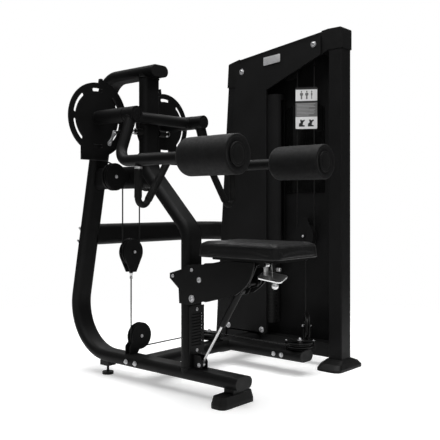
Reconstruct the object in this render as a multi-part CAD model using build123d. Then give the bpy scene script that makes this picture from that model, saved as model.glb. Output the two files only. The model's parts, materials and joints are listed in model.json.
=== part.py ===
"""Seated lateral-raise machine with a selectorised weight tower, in millimetres, +Z up.

Layout frame: X = 0 is the plane of the cam cables and +X points to the user's seat, Y = 0 is the
station's middle plane and +Y points to the weight tower, Z = 0 is the floor. Every part is moved
on export so that the origin is the middle of the footprint, on the floor.
"""

import os
from math import atan2, cos, degrees, hypot, radians, sin, tan

from build123d import *

# Frame tubes: flat oval, WIDE by DEEP, with WALL
WIDE = 100
DEEP = 50
WALL = 3
BASE_Z = 90
TOP_Z = 1358
LEAN = 0.201
REAR_X = -368.7
REAR_Z = 273
SEAM_X = 113
BASE_FRONT_X = 645
TOP_FRONT_X = 180
POST_X = 116
POST_KNEE_Z = 935
COLUMN_X = 370
COLUMN_KNEE_Z = 675
BRACE_Z = 903
LINK_Z = 640
CAP_T = 4

# Arm pivots and cams
PIVOT_Y = 200
PIVOT_Z = 1150
SHAFT_R = 15
RUNNING = 0.06
HOUSING_R = 30
HOUSING_X = (22, 192)
CROSS_TUBE_X = 164
CROSS_TUBE_R = 24
CAM_R = 149.5
CAM_CABLE_R = 155
CAM_RIM_R = 166
CAM_X = (5, 13)
STOP_PIN = (102, -55)
STOP_X = 124
HUB_R = 29.5
HUB_X = (195, 259)
ARM_X = 230
ARM_R = 22.5
ARM_OUT = 75
ARM_DROP = 197
ARM_BEND = 65
GRIP_X = 355
GRIP_R = 13
ROLLER_X = (598, 845)
ROLLER_R = 71

# Pulleys and cable
CABLE_R = 3
GROOVE = 50
FLANGE_R = 60
COVER_R = 57
PULLEY_W = 20
AXLE_R = 8
GUIDE = (100, 903)
FLOAT_Z = 571
BOTTOM_Z = 189
RUN_Z = BOTTOM_Z - GROOVE
CABLE_END_UP = BOTTOM_Z + 6
REAR_TURN = (50, 470)
FRONT_TURN = (521, 570)
FLAT_TURN_DEG = 129

# Weight tower
TOWER_Y = (757, 841)
TOWER_MID = 799
POST_W = 72
RIGHT_X = (557, 630)
LEFT_FOOT_X = -161
LEFT_LEAN = 0.0677
BEAM_LEFT_Z = 1547
BEAM_RIGHT_Z = 1620
BEAM_H = 30
FOOT_H = 47
RISER_X = 400
TOWER_FLOAT_Z = 626
TOP_PULLEY_Z = 1472
STACK_X = 98
PLATE = (248, 78, 18.3)
PLATE_PITCH = 18.5
STACK_Z = 179
FIXED_PLATES = 14
LIFTED_PLATES = 5
ROD_XY = ((25, TOWER_MID + 20), (155, TOWER_MID - 20))
ROD_R = 10
ROD_TOP_Z = 1312
PANEL_Y = 745
SHROUD_X = 220
SHROUD_R = 42
CORNER_X = 521
CAP_Z = (1408, 1524)

# Seat
PLATE_Y = (50, 58)
LINK_FOOT = (426, 404)
UPPER_FOOT = (466, 482)
LINK_SPAN = (260, 76)
STRUT_FOOT = (429, 131)
STRUT_TOP = (632, 450)
CUSHION_X = (515, 906)
CUSHION_Y = (132, 143)
CUSHION_Z = (581, 641)

parts = {}


def lean_x(z):
    """Centreline of the leaning rear upright at height z."""
    return REAR_X + LEAN * (z - REAR_Z)


def left_x(z):
    """Outer edge of the leaning left tower post at height z."""
    return LEFT_FOOT_X + LEFT_LEAN * (z - FOOT_H)


def beam_z(x):
    """Top edge of the sloping tower beam."""
    slope = (BEAM_RIGHT_Z - BEAM_LEFT_Z) / (RIGHT_X[0] - 10)
    return BEAM_LEFT_Z + slope * (x - 10)


def box(x, y, z):
    """Block between pairs of coordinates."""
    centre = ((x[0] + x[1]) / 2, (y[0] + y[1]) / 2, (z[0] + z[1]) / 2)
    return Pos(*centre) * Box(x[1] - x[0], y[1] - y[0], z[1] - z[0])


def rod(start, end, radius):
    """Solid round bar from start to end."""
    start = Vector(*start)
    along = Vector(*end) - start
    return extrude(Plane(origin=start, z_dir=along) * Circle(radius), along.length)


def tube(start, end, outer, inner):
    """Round tube from start to end."""
    return rod(start, end, outer) - rod(start, end, inner)


def path_through(points, radii):
    """Straight runs joined by tangent arcs."""
    if len(points) == 2:
        return Line(*points)
    return FilletPolyline(*points, radius=radii)


def oval_tube(points, radii, long_axis):
    """Flat oval tube along a filleted path, and the same outline without its bore."""
    path = path_through(points, radii)
    plane = Plane(origin=path @ 0, x_dir=long_axis, z_dir=path % 0)
    outer = sweep(plane * SlotOverall(WIDE, DEEP), path)
    inner = sweep(plane * SlotOverall(WIDE - 2 * WALL, DEEP - 2 * WALL), path)
    return outer - inner, outer


def round_path(points, radii, radius):
    """Solid round bar along a filleted path."""
    path = path_through(points, radii)
    plane = Plane(origin=path @ 0, z_dir=path % 0)
    return sweep(plane * Circle(radius), path)


def plate_xz(points, y0, y1):
    """Flat plate with an outline in the XZ plane, between two Y values."""
    face = make_face(Polyline(*[(x, 0, z) for x, z in points], close=True))
    solid = extrude(face, amount=y1 - y0, dir=(0, 1, 0))
    return Pos(0, y0, 0) * solid


def plate_yz(points, x0, x1):
    """Flat plate with an outline in the YZ plane, between two X values."""
    face = make_face(Polyline(*[(0, y, z) for y, z in points], close=True))
    solid = extrude(face, amount=x1 - x0, dir=(1, 0, 0))
    return Pos(x0, 0, 0) * solid


def bolt(at, direction, radius=8, height=9):
    """Washer with a domed nut that stands on a surface."""
    plane = Plane(origin=at, z_dir=direction)
    washer = extrude(plane * Circle(radius * 1.35), 2)
    nut = extrude(plane.offset(2) * RegularPolygon(radius, 6), height * 0.55)
    dome = extrude(plane.offset(2) * Circle(radius * 0.78), height - 2)
    return washer + nut + dome


def mirrored(shape):
    """The far twin of a near-side shape."""
    return mirror(shape, about=Plane.XZ)


# ---------------------------------------------------------------- station frame
def rear_c_frame():
    """Base tube, rear bend, leaning upright and short top bar in one bent tube."""
    corners = [
        (SEAM_X - 1, 0, BASE_Z),
        (lean_x(BASE_Z), 0, BASE_Z),
        (lean_x(TOP_Z), 0, TOP_Z),
        (TOP_FRONT_X, 0, TOP_Z),
    ]
    return oval_tube(corners, [225, 100], (0, 1, 0))


def front_post(rear_envelope):
    """Cranked post under the top bar with the brace back to the upright."""
    corners = [
        (POST_X, 0, TOP_Z - 10),
        (POST_X, 0, POST_KNEE_Z),
        (COLUMN_X, 0, COLUMN_KNEE_Z),
        (COLUMN_X, 0, BASE_Z),
    ]
    shell, outer = oval_tube(corners, [100, 100], (0, 1, 0))
    brace_points = [(lean_x(BRACE_Z), 0, BRACE_Z), (POST_X + 20, 0, BRACE_Z)]
    brace_path = Line(*brace_points)
    plane = Plane(origin=brace_path @ 0, x_dir=(0, 0, 1), z_dir=(1, 0, 0))
    brace_outer = sweep(plane * SlotOverall(WIDE, DEEP), brace_path)
    brace_inner = sweep(plane * SlotOverall(WIDE - 2 * WALL, DEEP - 2 * WALL), brace_path)
    brace = brace_outer - brace_inner - outer
    return shell + brace - rear_envelope, outer


def front_base(post_envelope):
    """Front base tube, the shell round the front of the post and the ears for the gas strut."""
    tube_shell, tube_outer = oval_tube(
        [(SEAM_X, 0, BASE_Z), (BASE_FRONT_X, 0, BASE_Z)], [], (0, 1, 0)
    )
    front = COLUMN_X + DEEP / 2
    shell = box((COLUMN_X, front + 3), (-50, 50), (BASE_Z, 398)) - tube_outer - post_envelope
    x, z = STRUT_FOOT
    for side in (-1, 1):
        y0, y1 = sorted((side * 12, side * 17))
        outline = [(front + 2, 112), (x + 17, 112), (x + 17, z + 12), (x + 5, 168), (front + 2, 168)]
        ear = plate_xz(outline, y0, y1) - tube_outer
        shell += ear - rod((x, y0 - 1, z), (x, y1 + 1, z), 6)
    return tube_shell - post_envelope + shell, tube_outer


def tower_link_bar(rear_envelope):
    """Bar on its narrow edge from the upright to the left tower post."""
    x = lean_x(LINK_Z)
    corners = [(x, 34, LINK_Z), (x, TOWER_MID, LINK_Z), (left_x(LINK_Z) + 3, TOWER_MID, LINK_Z)]
    shell, _ = oval_tube(corners, [120], (0, 0, 1))
    return shell - rear_envelope


def base_link_frame(base_envelope, rear_envelope):
    """Cross tube from the station to the tower with the short rail in front of the tower."""
    cross, cross_outer = oval_tube([(95, 30, BASE_Z), (95, 764, BASE_Z)], [], (1, 0, 0))
    rail_shell, rail_outer = oval_tube([(95, 560, BASE_Z), (561, 560, BASE_Z)], [], (0, 1, 0))
    return (cross - base_envelope - rear_envelope) + (rail_shell - cross_outer)


def pivot_housings(post_envelope):
    """Two bearing tubes on one cross tube that is welded to the post."""
    cross = rod((CROSS_TUBE_X, -PIVOT_Y, PIVOT_Z), (CROSS_TUBE_X, PIVOT_Y, PIVOT_Z), CROSS_TUBE_R)
    bore = rod(
        (CROSS_TUBE_X, -PIVOT_Y, PIVOT_Z), (CROSS_TUBE_X, PIVOT_Y, PIVOT_Z), CROSS_TUBE_R - WALL
    )
    cross -= bore
    result = cross - post_envelope
    for side in (-1, 1):
        y = side * PIVOT_Y
        result -= rod((HOUSING_X[0], y, PIVOT_Z), (HOUSING_X[1], y, PIVOT_Z), HOUSING_R)
    for side in (-1, 1):
        y = side * PIVOT_Y
        result += tube((HOUSING_X[0], y, PIVOT_Z), (HOUSING_X[1], y, PIVOT_Z), HOUSING_R, 26)
    return result


def bearings():
    """Four ball-bearing rings, two to a housing."""
    rings = []
    for side in (-1, 1):
        y = side * PIVOT_Y
        for x in (HOUSING_X[0] + 1, HOUSING_X[1] - 16):
            rings.append(tube((x, y, PIVOT_Z), (x + 15, y, PIVOT_Z), 26, SHAFT_R + RUNNING))
    return Compound(rings)


def oval_cap(plane):
    """Plastic cap over the end of a flat oval tube."""
    return extrude(plane * SlotOverall(WIDE, DEEP), CAP_T)


def plastic_caps(tower_envelope):
    """Tube end caps and the two moulded corner caps that sleeve the tower."""
    caps = [
        oval_cap(Plane(origin=(BASE_FRONT_X, 0, BASE_Z), x_dir=(0, 1, 0), z_dir=(1, 0, 0))),
        oval_cap(Plane(origin=(TOP_FRONT_X, 0, TOP_Z), x_dir=(0, 1, 0), z_dir=(1, 0, 0))),
        oval_cap(Plane(origin=(561, 560, BASE_Z), x_dir=(0, 1, 0), z_dir=(1, 0, 0))),
    ]
    top = BEAM_RIGHT_Z + 3
    right = [
        (CORNER_X, CAP_Z[1] - 18),
        (RIGHT_X[0], CAP_Z[1]),
        (RIGHT_X[1] + 3, CAP_Z[1]),
        (RIGHT_X[1] + 3, top),
        (RIGHT_X[0], top),
        (CORNER_X, beam_z(CORNER_X) + 3),
    ]
    left = [
        (left_x(CAP_Z[0]) - 3, CAP_Z[0]),
        (10, CAP_Z[0]),
        (10, BEAM_LEFT_Z + 3),
        (left_x(1533) - 3, 1533),
    ]
    for outline, side in ((right, 1), (left, -1)):
        cap = plate_xz(outline, TOWER_Y[0] - 3, TOWER_Y[1] + 3)
        corners = cap.edges().filter_by(Axis.Y)
        outer = corners.sort_by(lambda edge: edge.center().Z + side * edge.center().X)[-1]
        caps.append(fillet(outer, 10) - tower_envelope)
    return Compound(caps)


def flared_foot(centre, sections):
    """Moulded foot through rounded outlines, each given as height, length, width and corner."""
    x, y = centre
    outlines = [Pos(x, y, z) * RectangleRounded(length, width, r) for z, length, width, r in sections]
    foot = loft(outlines[:2], ruled=True)
    for low, high in zip(outlines[1:], outlines[2:]):
        foot += loft([low, high], ruled=True)
    return foot


def floor_feet():
    """Front foot with its spacer, rear levelling foot and the two tower feet."""
    front = flared_foot((591, 0), [(0, 76, 202, 27), (15, 76, 202, 27), (45, 62, 186, 22)])
    front += box((567, 617), (-24, 24), (40, BASE_Z - DEEP / 2))
    pad = rod((-159, 0, 0), (-159, 0, 12), 26)
    pad += rod((-159, 0, 10), (-159, 0, 50), 6)
    pad += box((-186, -132), (-24, 24), (42, BASE_Z - DEEP / 2))
    feet = [front, pad]
    for middle in (LEFT_FOOT_X + POST_W / 2, (RIGHT_X[0] + RIGHT_X[1]) / 2):
        sections = [(0, 130, 236, 32), (12, 130, 236, 32), (32, 112, 188, 26), (FOOT_H, 84, 98, 10)]
        feet.append(flared_foot((middle, TOWER_MID), sections))
    return Compound(feet)


def rubber_buffers():
    """Arm stops on the post and the buffers under the weight stack."""
    items = []
    for side in (-1, 1):
        items.append(rod((STOP_X, side * 50, 1095), (STOP_X, side * 89.5, 1095), 14))
    for x, y in ROD_XY:
        items.append(tube((x, y, 115), (x, y, STACK_Z - 0.2), 19, ROD_R + 0.5))
    return Compound(items)


# ---------------------------------------------------------------- pulleys
def pulley(centre, axis):
    """Moulded pulley with a round cable groove, a hub and a bore."""
    half = PULLEY_W / 2
    body = Cylinder(FLANGE_R, PULLEY_W) - Cylinder(AXLE_R + RUNNING, PULLEY_W)
    rim = GROOVE - CABLE_R - 0.4
    groove = Polyline(
        (rim, 0, -3.4), (rim, 0, 3.4), (FLANGE_R + 1, 0, 7), (FLANGE_R + 1, 0, -7), close=True
    )
    body -= revolve(make_face(groove), Axis.Z)
    for side in (-1, 1):
        dish = Pos(0, 0, side * half) * (Cylinder(42, 6) - Cylinder(20, 6))
        body -= dish
    return Plane(origin=centre, z_dir=axis) * body


def turn_direction():
    """Heading of the cable between the front turning pulley and the tower."""
    return (cos(radians(FLAT_TURN_DEG)), sin(radians(FLAT_TURN_DEG)))


def tower_lower_centre():
    """Centre of the pulley that turns the cable up into the tower."""
    dx, dy = turn_direction()
    return (RISER_X - GROOVE * dx, TOWER_MID - GROOVE * dy, BOTTOM_Z)


def pulley_sites():
    """Centre and axle direction of every pulley on the fixed frame."""
    dx, dy = turn_direction()
    return {
        "near_guide_pulley": ((0, -GUIDE[0], GUIDE[1]), (1, 0, 0)),
        "far_guide_pulley": ((0, GUIDE[0], GUIDE[1]), (1, 0, 0)),
        "bottom_pulley": ((0, GROOVE, BOTTOM_Z), (1, 0, 0)),
        "base_pulley_rear": ((*REAR_TURN, RUN_Z), (0, 0, 1)),
        "base_pulley_front": ((*FRONT_TURN, RUN_Z), (0, 0, 1)),
        "tower_lower_pulley": (tower_lower_centre(), (dy, -dx, 0)),
        "top_pulley_front": ((RISER_X - 100, TOWER_MID, TOP_PULLEY_Z), (0, 1, 0)),
        "top_pulley_rear": ((STACK_X + GROOVE, TOWER_MID, TOP_PULLEY_Z), (0, 1, 0)),
    }


def axle(centre, axis, reach=17):
    """Axle bolt through a pulley with a head at each end."""
    centre = Vector(*centre)
    axis = Vector(*axis).normalized()
    low = centre - axis * reach
    high = centre + axis * reach
    pin = rod(tuple(low), tuple(high), AXLE_R)
    return pin + bolt(tuple(high), tuple(axis)) + bolt(tuple(low), tuple(axis * -1))


def standing_axle(centre):
    """Upright axle of a base pulley, screwed down to its base plate."""
    x, y, z = centre
    pin = rod((x, y, BASE_Z + DEEP / 2 + 5), (x, y, z + 12), AXLE_R)
    return pin + bolt((x, y, z + 12), (0, 0, 1))


def cheek(outline, plane, offset, thick=5):
    """Side plate of a pulley bracket."""
    face = make_face(Polyline(*[(u, v) for u, v in outline], close=True))
    return plane * (Pos(0, 0, offset) * extrude(face, thick))


def pulley_brackets(axles):
    """Cheeks and base plates that hold the fixed pulleys, with axle holes."""
    items = []
    for side in (-1, 1):
        for x in (-17, 12):
            y = sorted((side * DEEP / 2, side * (GUIDE[0] + 20)))
            arm = box((x, x + 5), y, (BRACE_Z - 20, BRACE_Z + 20))
            middle = (side * GUIDE[0], GUIDE[1])
            items.append(arm + rod((x, *middle), (x + 5, *middle), COVER_R))
    top = BASE_Z + DEEP / 2
    for x in (-17, 12):
        outline = [(-20, top), (24, top), (72, 176), (72, 206), (32, 206), (-20, 150)]
        cover = rod((x, GROOVE, BOTTOM_Z), (x + 5, GROOVE, BOTTOM_Z), COVER_R)
        items.append(plate_yz(outline, x, x + 5) + cover)
    x, y = REAR_TURN
    items.append(box((x - 36, x + 70), (y - 24, y + 24), (top, top + 5)))
    items.append(tube((x, y, top + 5), (x, y, RUN_Z - 10.3), 16, AXLE_R))
    x, y = FRONT_TURN
    items.append(box((x - 46, x + 46), (y - 34, y + 14), (top, top + 5)))
    items.append(tube((x, y, top + 5), (x, y, RUN_Z - 10.3), 16, AXLE_R))
    cx, cy, cz = tower_lower_centre()
    dx, dy = turn_direction()
    upright = Plane(origin=(cx, cy, 0), x_dir=(dx, dy, 0), z_dir=(dy, -dx, 0))
    for offset in (-17, 12):
        outline = [(-2, top), (75, top), (75, 130), (24, 205), (-24, 205), (-24, 170)]
        items.append(cheek(outline, upright, offset))
    for px in (RISER_X - 100, STACK_X + GROOVE):
        for y in (TOWER_MID - 17, TOWER_MID + 12):
            z = beam_z(px) - BEAM_H
            items.append(box((px - 18, px + 18), (y, y + 5), (TOP_PULLEY_Z - 20, z + 2)))
    anchor_x = RISER_X + GROOVE
    z = beam_z(anchor_x) - BEAM_H
    items.append(rod((anchor_x, TOWER_MID, TOP_PULLEY_Z), (anchor_x, TOWER_MID, z + 1), 9))
    bridge = box((4, 178), (TOWER_MID - 32, TOWER_MID + 32), (ROD_TOP_Z - 6, ROD_TOP_Z))
    for x, y in ROD_XY:
        bridge -= rod((x, y, ROD_TOP_Z - 7), (x, y, ROD_TOP_Z + 1), ROD_R)
    bridge -= rod((STACK_X, TOWER_MID, ROD_TOP_Z - 7), (STACK_X, TOWER_MID, ROD_TOP_Z + 1), 14)
    for y in (TOWER_MID - 32, TOWER_MID + 26):
        bridge += box((40, 70), (y, y + 6), (ROD_TOP_Z - 6, beam_z(55) - BEAM_H + 4))
    items.append(bridge)
    result = Compound(items)
    for item in axles:
        result = result - item
    return result


# ---------------------------------------------------------------- cables
def cable(points, radii):
    """Cable along straight runs and tangent arcs."""
    return round_path(points, radii, CABLE_R)


def cam_exit():
    """Where the near cam cable leaves its groove, and its corner above the guide pulley."""
    centre_y, centre_z = -GUIDE[0], GUIDE[1]
    dy, dz = centre_y + PIVOT_Y, centre_z - PIVOT_Z
    span = hypot(dy, dz)
    heading = atan2(dz, dy) + asin_deg((CAM_CABLE_R + GROOVE) / span)
    leave = (-PIVOT_Y + CAM_CABLE_R * sin(heading), PIVOT_Z - CAM_CABLE_R * cos(heading))
    corner_y = centre_y + GROOVE
    corner_z = leave[1] + (corner_y - leave[0]) * tan(heading)
    return leave, (corner_y, corner_z), heading


def asin_deg(ratio):
    """Arc sine in radians, through atan2."""
    return atan2(ratio, (1 - ratio * ratio) ** 0.5)


def fixed_cables():
    """Cable stretches whose shape never changes."""
    leave, corner, _ = cam_exit()
    near = cable(
        [(0, *leave), (0, *corner), (0, corner[0], GUIDE[1] - 6)], [GROOVE]
    )
    dx, dy = turn_direction()
    reach = GROOVE * tan(radians(FLAT_TURN_DEG / 2))
    base = cable(
        [
            (0, 0, CABLE_END_UP),
            (0, 0, RUN_Z),
            (0, REAR_TURN[1] + GROOVE, RUN_Z),
            (FRONT_TURN[0] + reach, FRONT_TURN[1] - GROOVE, RUN_Z),
            (RISER_X, TOWER_MID, RUN_Z),
            (RISER_X, TOWER_MID, CABLE_END_UP),
        ],
        [GROOVE] * 4,
    )
    top_z = TOP_PULLEY_Z + GROOVE
    high = cable(
        [
            (RISER_X - GROOVE, TOWER_MID, TOP_PULLEY_Z - 6),
            (RISER_X - GROOVE, TOWER_MID, top_z),
            (STACK_X, TOWER_MID, top_z),
            (STACK_X, TOWER_MID, TOP_PULLEY_Z - 6),
        ],
        [GROOVE] * 2,
    )
    return Compound([near, mirrored(near), base, high])


def cam_cable_run():
    """U of cable from both guide pulleys down round the floating pulley."""
    top, low = GUIDE[1] - 6.2, FLOAT_Z - GROOVE
    return cable(
        [(0, -GROOVE, top), (0, -GROOVE, low), (0, GROOVE, low), (0, GROOVE, top)],
        [GROOVE - 0.1] * 2,
    )


def tower_cable_run():
    """U of cable from the anchor and the top pulley down round the tower's floating pulley."""
    top, low = TOP_PULLEY_Z - 6.2, TOWER_FLOAT_Z - GROOVE
    left, right = RISER_X - GROOVE, RISER_X + GROOVE
    return cable(
        [(left, TOWER_MID, top), (left, TOWER_MID, low), (right, TOWER_MID, low), (right, TOWER_MID, top)],
        [GROOVE - 0.1] * 2,
    )


# ---------------------------------------------------------------- floating pulleys
def floating_bracket(centre, across):
    """Two cheeks, an axle and a cable socket below the pulley."""
    x, y, z = centre
    axis = Vector(*across)
    side = Vector(axis.Y, axis.X, 0)
    plane = Plane(origin=(x, y, z), x_dir=tuple(side), z_dir=tuple(axis))
    taper = make_face(Polyline((-53, -20), (53, -20), (17, -90), (-17, -90), close=True))
    result = None
    for offset in (-17, 12):
        plate = plane * (Pos(0, 0, offset) * extrude(Circle(COVER_R - 1) + taper, 5))
        result = plate if result is None else result + plate
    block = plane * (Pos(0, -76, 0) * Box(30, 16, 30))
    socket = rod((x, y, z - 94), (x, y, z - 80), 9)
    return result + block + socket + axle(centre, across)


# ---------------------------------------------------------------- arms
def near_arm():
    """Shaft, hub and bent arm tube welded together."""
    y = -PIVOT_Y
    shaft = rod((-14, y, PIVOT_Z), (HUB_X[0] + 1, y, PIVOT_Z), SHAFT_R)
    hub = rod((HUB_X[0], y, PIVOT_Z), (HUB_X[1], y, PIVOT_Z), HUB_R)
    ring = tube((HUB_X[1] - 3, y, PIVOT_Z), (HUB_X[1], y, PIVOT_Z), 20, 15)
    hub -= ring
    elbow = (ARM_X, y - ARM_OUT, PIVOT_Z - ARM_DROP)
    tip = (ROLLER_X[1] - 9, elbow[1], elbow[2])
    solid = round_path([(ARM_X, y, PIVOT_Z), elbow, tip], [ARM_BEND], ARM_R)
    bore = round_path([(ARM_X, y, PIVOT_Z), elbow, tip], [ARM_BEND], ARM_R - WALL)
    hollow = solid - bore
    return shaft + hub + (hollow - hub), solid


def arc_slot(radius, centre_deg, span_deg, width):
    """Curved slot cutter in the YZ plane about the origin."""
    half = radians(span_deg / 2)
    mid = radians(centre_deg)
    points = [
        (radius * cos(mid + step * half), radius * sin(mid + step * half)) for step in (-1, 0, 1)
    ]
    arc = ThreePointArc(*points)
    return extrude(SlotArc(arc, width), 60, both=True)


def cam_face(face_shape):
    """Stand a flat XY cutter or plate up into the near cam's YZ plane."""
    plane = Plane(origin=(0, -PIVOT_Y, PIVOT_Z), x_dir=(0, 1, 0), z_dir=(1, 0, 0))
    return plane * face_shape


def near_cam():
    """Slotted cam plate with a grooved half rim, a bent tab, a boss and a stop pin."""
    low, high = CAM_X
    disc = Pos(0, 0, (low + high) / 2) * Cylinder(CAM_R, high - low)
    tab = Pos(-19.5, -138, (low + high) / 2) * Box(131, 84, high - low)
    flange = Pos(-19.5, -177, (low + high) / 2 + 7) * Box(131, 6, high - low + 14)
    body = disc + tab + flange
    for centre_deg, span in ((90, 20), (150, 38), (207, 38), (-27, 34), (30, 34), (-90, 20)):
        body -= arc_slot(120, centre_deg, span, 14)
    inner, outer = CAM_R - 14, CAM_RIM_R
    profile = Polyline((inner, 0, -8), (outer, 0, -8), (outer, 0, 8), (inner, 0, 8), close=True)
    floor = CAM_CABLE_R - CABLE_R - 0.4
    notch = Polyline(
        (floor, 0, -3.4), (floor, 0, 3.4), (outer + 1, 0, 4.2), (outer + 1, 0, -4.2), close=True
    )
    sector = revolve(make_face(profile), Axis.Z, 194)
    sector -= revolve(make_face(notch), Axis.Z, 360)
    body += Rot(0, 0, -114) * sector
    lug = Rot(0, 0, 81) * (Pos(CAM_RIM_R - 6, 0, 0) * Box(24, 12, 16))
    body += lug
    body += Pos(0, 0, 4) * Cylinder(25, 26)
    pin = Pos(STOP_PIN[0], STOP_PIN[1], 72) * Cylinder(8, 130)
    body += pin
    body -= Cylinder(SHAFT_R, 80)
    return cam_face(body)


def near_hand_grip(arm_solid):
    """Triangular tubular grip that hangs inside the arm."""
    y = -PIVOT_Y - ARM_OUT
    z = PIVOT_Z - ARM_DROP
    corners = [
        (GRIP_X, y - 5, z),
        (GRIP_X, y - 9, 722),
        (GRIP_X, -104, 982),
        (GRIP_X, y, 966),
    ]
    return round_path(corners, [26, 22], GRIP_R) - arm_solid


def near_roller():
    """Foam roller with a rounded shoulder and a recess for its end plug."""
    y = -PIVOT_Y - ARM_OUT
    z = PIVOT_Z - ARM_DROP
    low, high = ROLLER_X
    foam = rod((low, y, z), (high, y, z), ROLLER_R)
    foam = fillet(foam.edges().filter_by(GeomType.CIRCLE), 22)
    foam -= rod((high - 7, y, z), (high, y, z), 46)
    return foam - rod((low, y, z), (high, y, z), ARM_R + RUNNING)


def near_roller_plug():
    """Domed end plug that closes the roller."""
    y = -PIVOT_Y - ARM_OUT
    z = PIVOT_Z - ARM_DROP
    high = ROLLER_X[1]
    plug = rod((high - 6.8, y, z), (high + 3, y, z), 43)
    return fillet(plug.edges().group_by(Axis.X)[-1], 6)


# ---------------------------------------------------------------- seat
def link_end(foot):
    """Outer pivot of a seat link."""
    return (foot[0] + LINK_SPAN[0], foot[1] + LINK_SPAN[1])


def cross_pin(at, radius, half_width):
    """Pin across the machine at a point of the XZ plane."""
    return rod((at[0], -half_width, at[1]), (at[0], half_width, at[1]), radius)


def seat_side_plates():
    """Two plates bolted to the column that shelter the seat links."""
    outline = [
        (302, 500),
        (302, 479),
        (352, 440),
        (356, 380),
        (404, 376),
        (486, 397),
        (574, 416),
        (654, 438),
        (682, 456),
        (706, 478),
        (722, 500),
        (733, 525),
        (740, 548),
        (742, 564),
        (590, 564),
        (500, 546),
        (400, 538),
        (372, 520),
    ]
    plates = []
    for side in (-1, 1):
        y0, y1 = sorted((side * PLATE_Y[0], side * PLATE_Y[1]))
        plate = plate_xz(outline, y0, y1)
        plates.append(plate - cross_pin(LINK_FOOT, 8, 90) - cross_pin(UPPER_FOOT, 8, 90))
    return Compound(plates)


def link_bar(foot, y0, y1, width):
    """Flat link bar with rounded ends and a bore at each pivot."""
    end = link_end(foot)
    angle = degrees(atan2(LINK_SPAN[1], LINK_SPAN[0]))
    length = hypot(*LINK_SPAN)
    middle = ((foot[0] + end[0]) / 2, (foot[1] + end[1]) / 2)
    bar = extrude(SlotCenterToCenter(length, width), y1 - y0)
    plane = Plane(origin=(middle[0], y1, middle[1]), x_dir=(1, 0, 0), z_dir=(0, -1, 0))
    bar = plane * (Rot(0, 0, angle) * bar)
    for at in (foot, end):
        bar -= cross_pin(at, 8 + RUNNING, 90)
    return bar


def seat_swing_arm():
    """Lower link pair joined by a cross bar, with ears for the gas strut."""
    result = link_bar(LINK_FOOT, -30, -22, 30) + link_bar(LINK_FOOT, 22, 30, 30)
    x = LINK_FOOT[0] + 90
    z = LINK_FOOT[1] + 90 * LINK_SPAN[1] / LINK_SPAN[0]
    result += rod((x, -23, z), (x, 23, z), 9)
    for side in (-1, 1):
        y0, y1 = sorted((side * 22, side * 27))
        ear = [(604, 464), (606, 444), (618, 434), (646, 434), (658, 446), (662, 478)]
        result += plate_xz(ear, y0, y1)
    return result + rod((STRUT_TOP[0], -23, STRUT_TOP[1]), (STRUT_TOP[0], 23, STRUT_TOP[1]), 4)


def seat_parallel_link():
    """Upper link that keeps the seat level."""
    return link_bar(UPPER_FOOT, -9, 9, 24)


def seat_base():
    """Seat pan with the hanger plates that the links carry."""
    pan = box((570, 880), (-110, 110), (CUSHION_Z[0] - 8, CUSHION_Z[0]))
    pan = fillet(pan.edges().filter_by(Axis.Z), 24)
    lower, upper = link_end(LINK_FOOT), link_end(UPPER_FOOT)
    outline = [
        (lower[0] - 14, lower[1] + 4),
        (lower[0] - 4, lower[1] - 14),
        (lower[0] + 14, lower[1] - 6),
        (upper[0] + 14, upper[1] - 6),
        (upper[0] + 60, CUSHION_Z[0] - 8),
        (upper[0] - 30, CUSHION_Z[0] - 8),
    ]
    for side in (-1, 1):
        y0, y1 = sorted((side * 33, side * 39))
        pan += plate_xz(outline, y0, y1)
    return pan + cross_pin(lower, 8, 34) + cross_pin(upper, 8, 34)


def seat_cushion():
    """Upholstered seat pad, slightly narrower at the rear."""
    rear_half, front_half = CUSHION_Y
    outline = [
        (CUSHION_X[0], -rear_half),
        (CUSHION_X[1], -front_half),
        (CUSHION_X[1], front_half),
        (CUSHION_X[0], rear_half),
    ]
    pad = extrude(make_face(Polyline(*outline, close=True)), CUSHION_Z[1] - CUSHION_Z[0])
    pad = Pos(0, 0, CUSHION_Z[0]) * pad
    pad = fillet(pad.edges().filter_by(Axis.Z), 28)
    return fillet(pad.faces().sort_by(Axis.Z)[-1].edges(), 16)


def release_lever():
    """Seat release paddle that hangs from the pan, with a ball knob."""
    eye = tube((800, -72, 562), (800, -48, 562), 9, 4)
    hanger = box((794, 806), (-66, -54), (512, 556))
    blade = fillet(Box(106, 56, 5).edges().filter_by(Axis.Z), 14)
    blade = Pos(829, -60, 518) * Rot(24, 7, 0) * blade
    stalk = rod((841, -60, 516), (841, -60, 490), 4)
    knob = Pos(841, -60, 487) * Sphere(13)
    return hanger + eye + blade + stalk + knob - rod((800, -80, 562), (800, -40, 562), 4.06)


def lever_hanger():
    """Ears and pin under the seat pan for the release lever."""
    result = rod((800, -84, 562), (800, -36, 562), 4)
    for y in (-84, -44):
        result += box((790, 810), (y, y + 8), (554, CUSHION_Z[0] - 8))
    return result


def strut_axis():
    """Unit vector of the gas strut from its foot to its top."""
    dx, dz = STRUT_TOP[0] - STRUT_FOOT[0], STRUT_TOP[1] - STRUT_FOOT[1]
    length = hypot(dx, dz)
    return dx / length, dz / length, length


def strut_point(distance):
    """Point on the strut's axis, at a distance from its foot pin."""
    ux, uz, _ = strut_axis()
    return (STRUT_FOOT[0] + ux * distance, 0, STRUT_FOOT[1] + uz * distance)


def strut_rod():
    """Polished piston rod with its foot eye."""
    eye = rod((STRUT_FOOT[0], -7, STRUT_FOOT[1]), (STRUT_FOOT[0], 7, STRUT_FOOT[1]), 12)
    piston = rod(strut_point(6), strut_point(300), 5)
    return eye + piston - rod((STRUT_FOOT[0], -9, STRUT_FOOT[1]), (STRUT_FOOT[0], 9, STRUT_FOOT[1]), 6.06)


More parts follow.
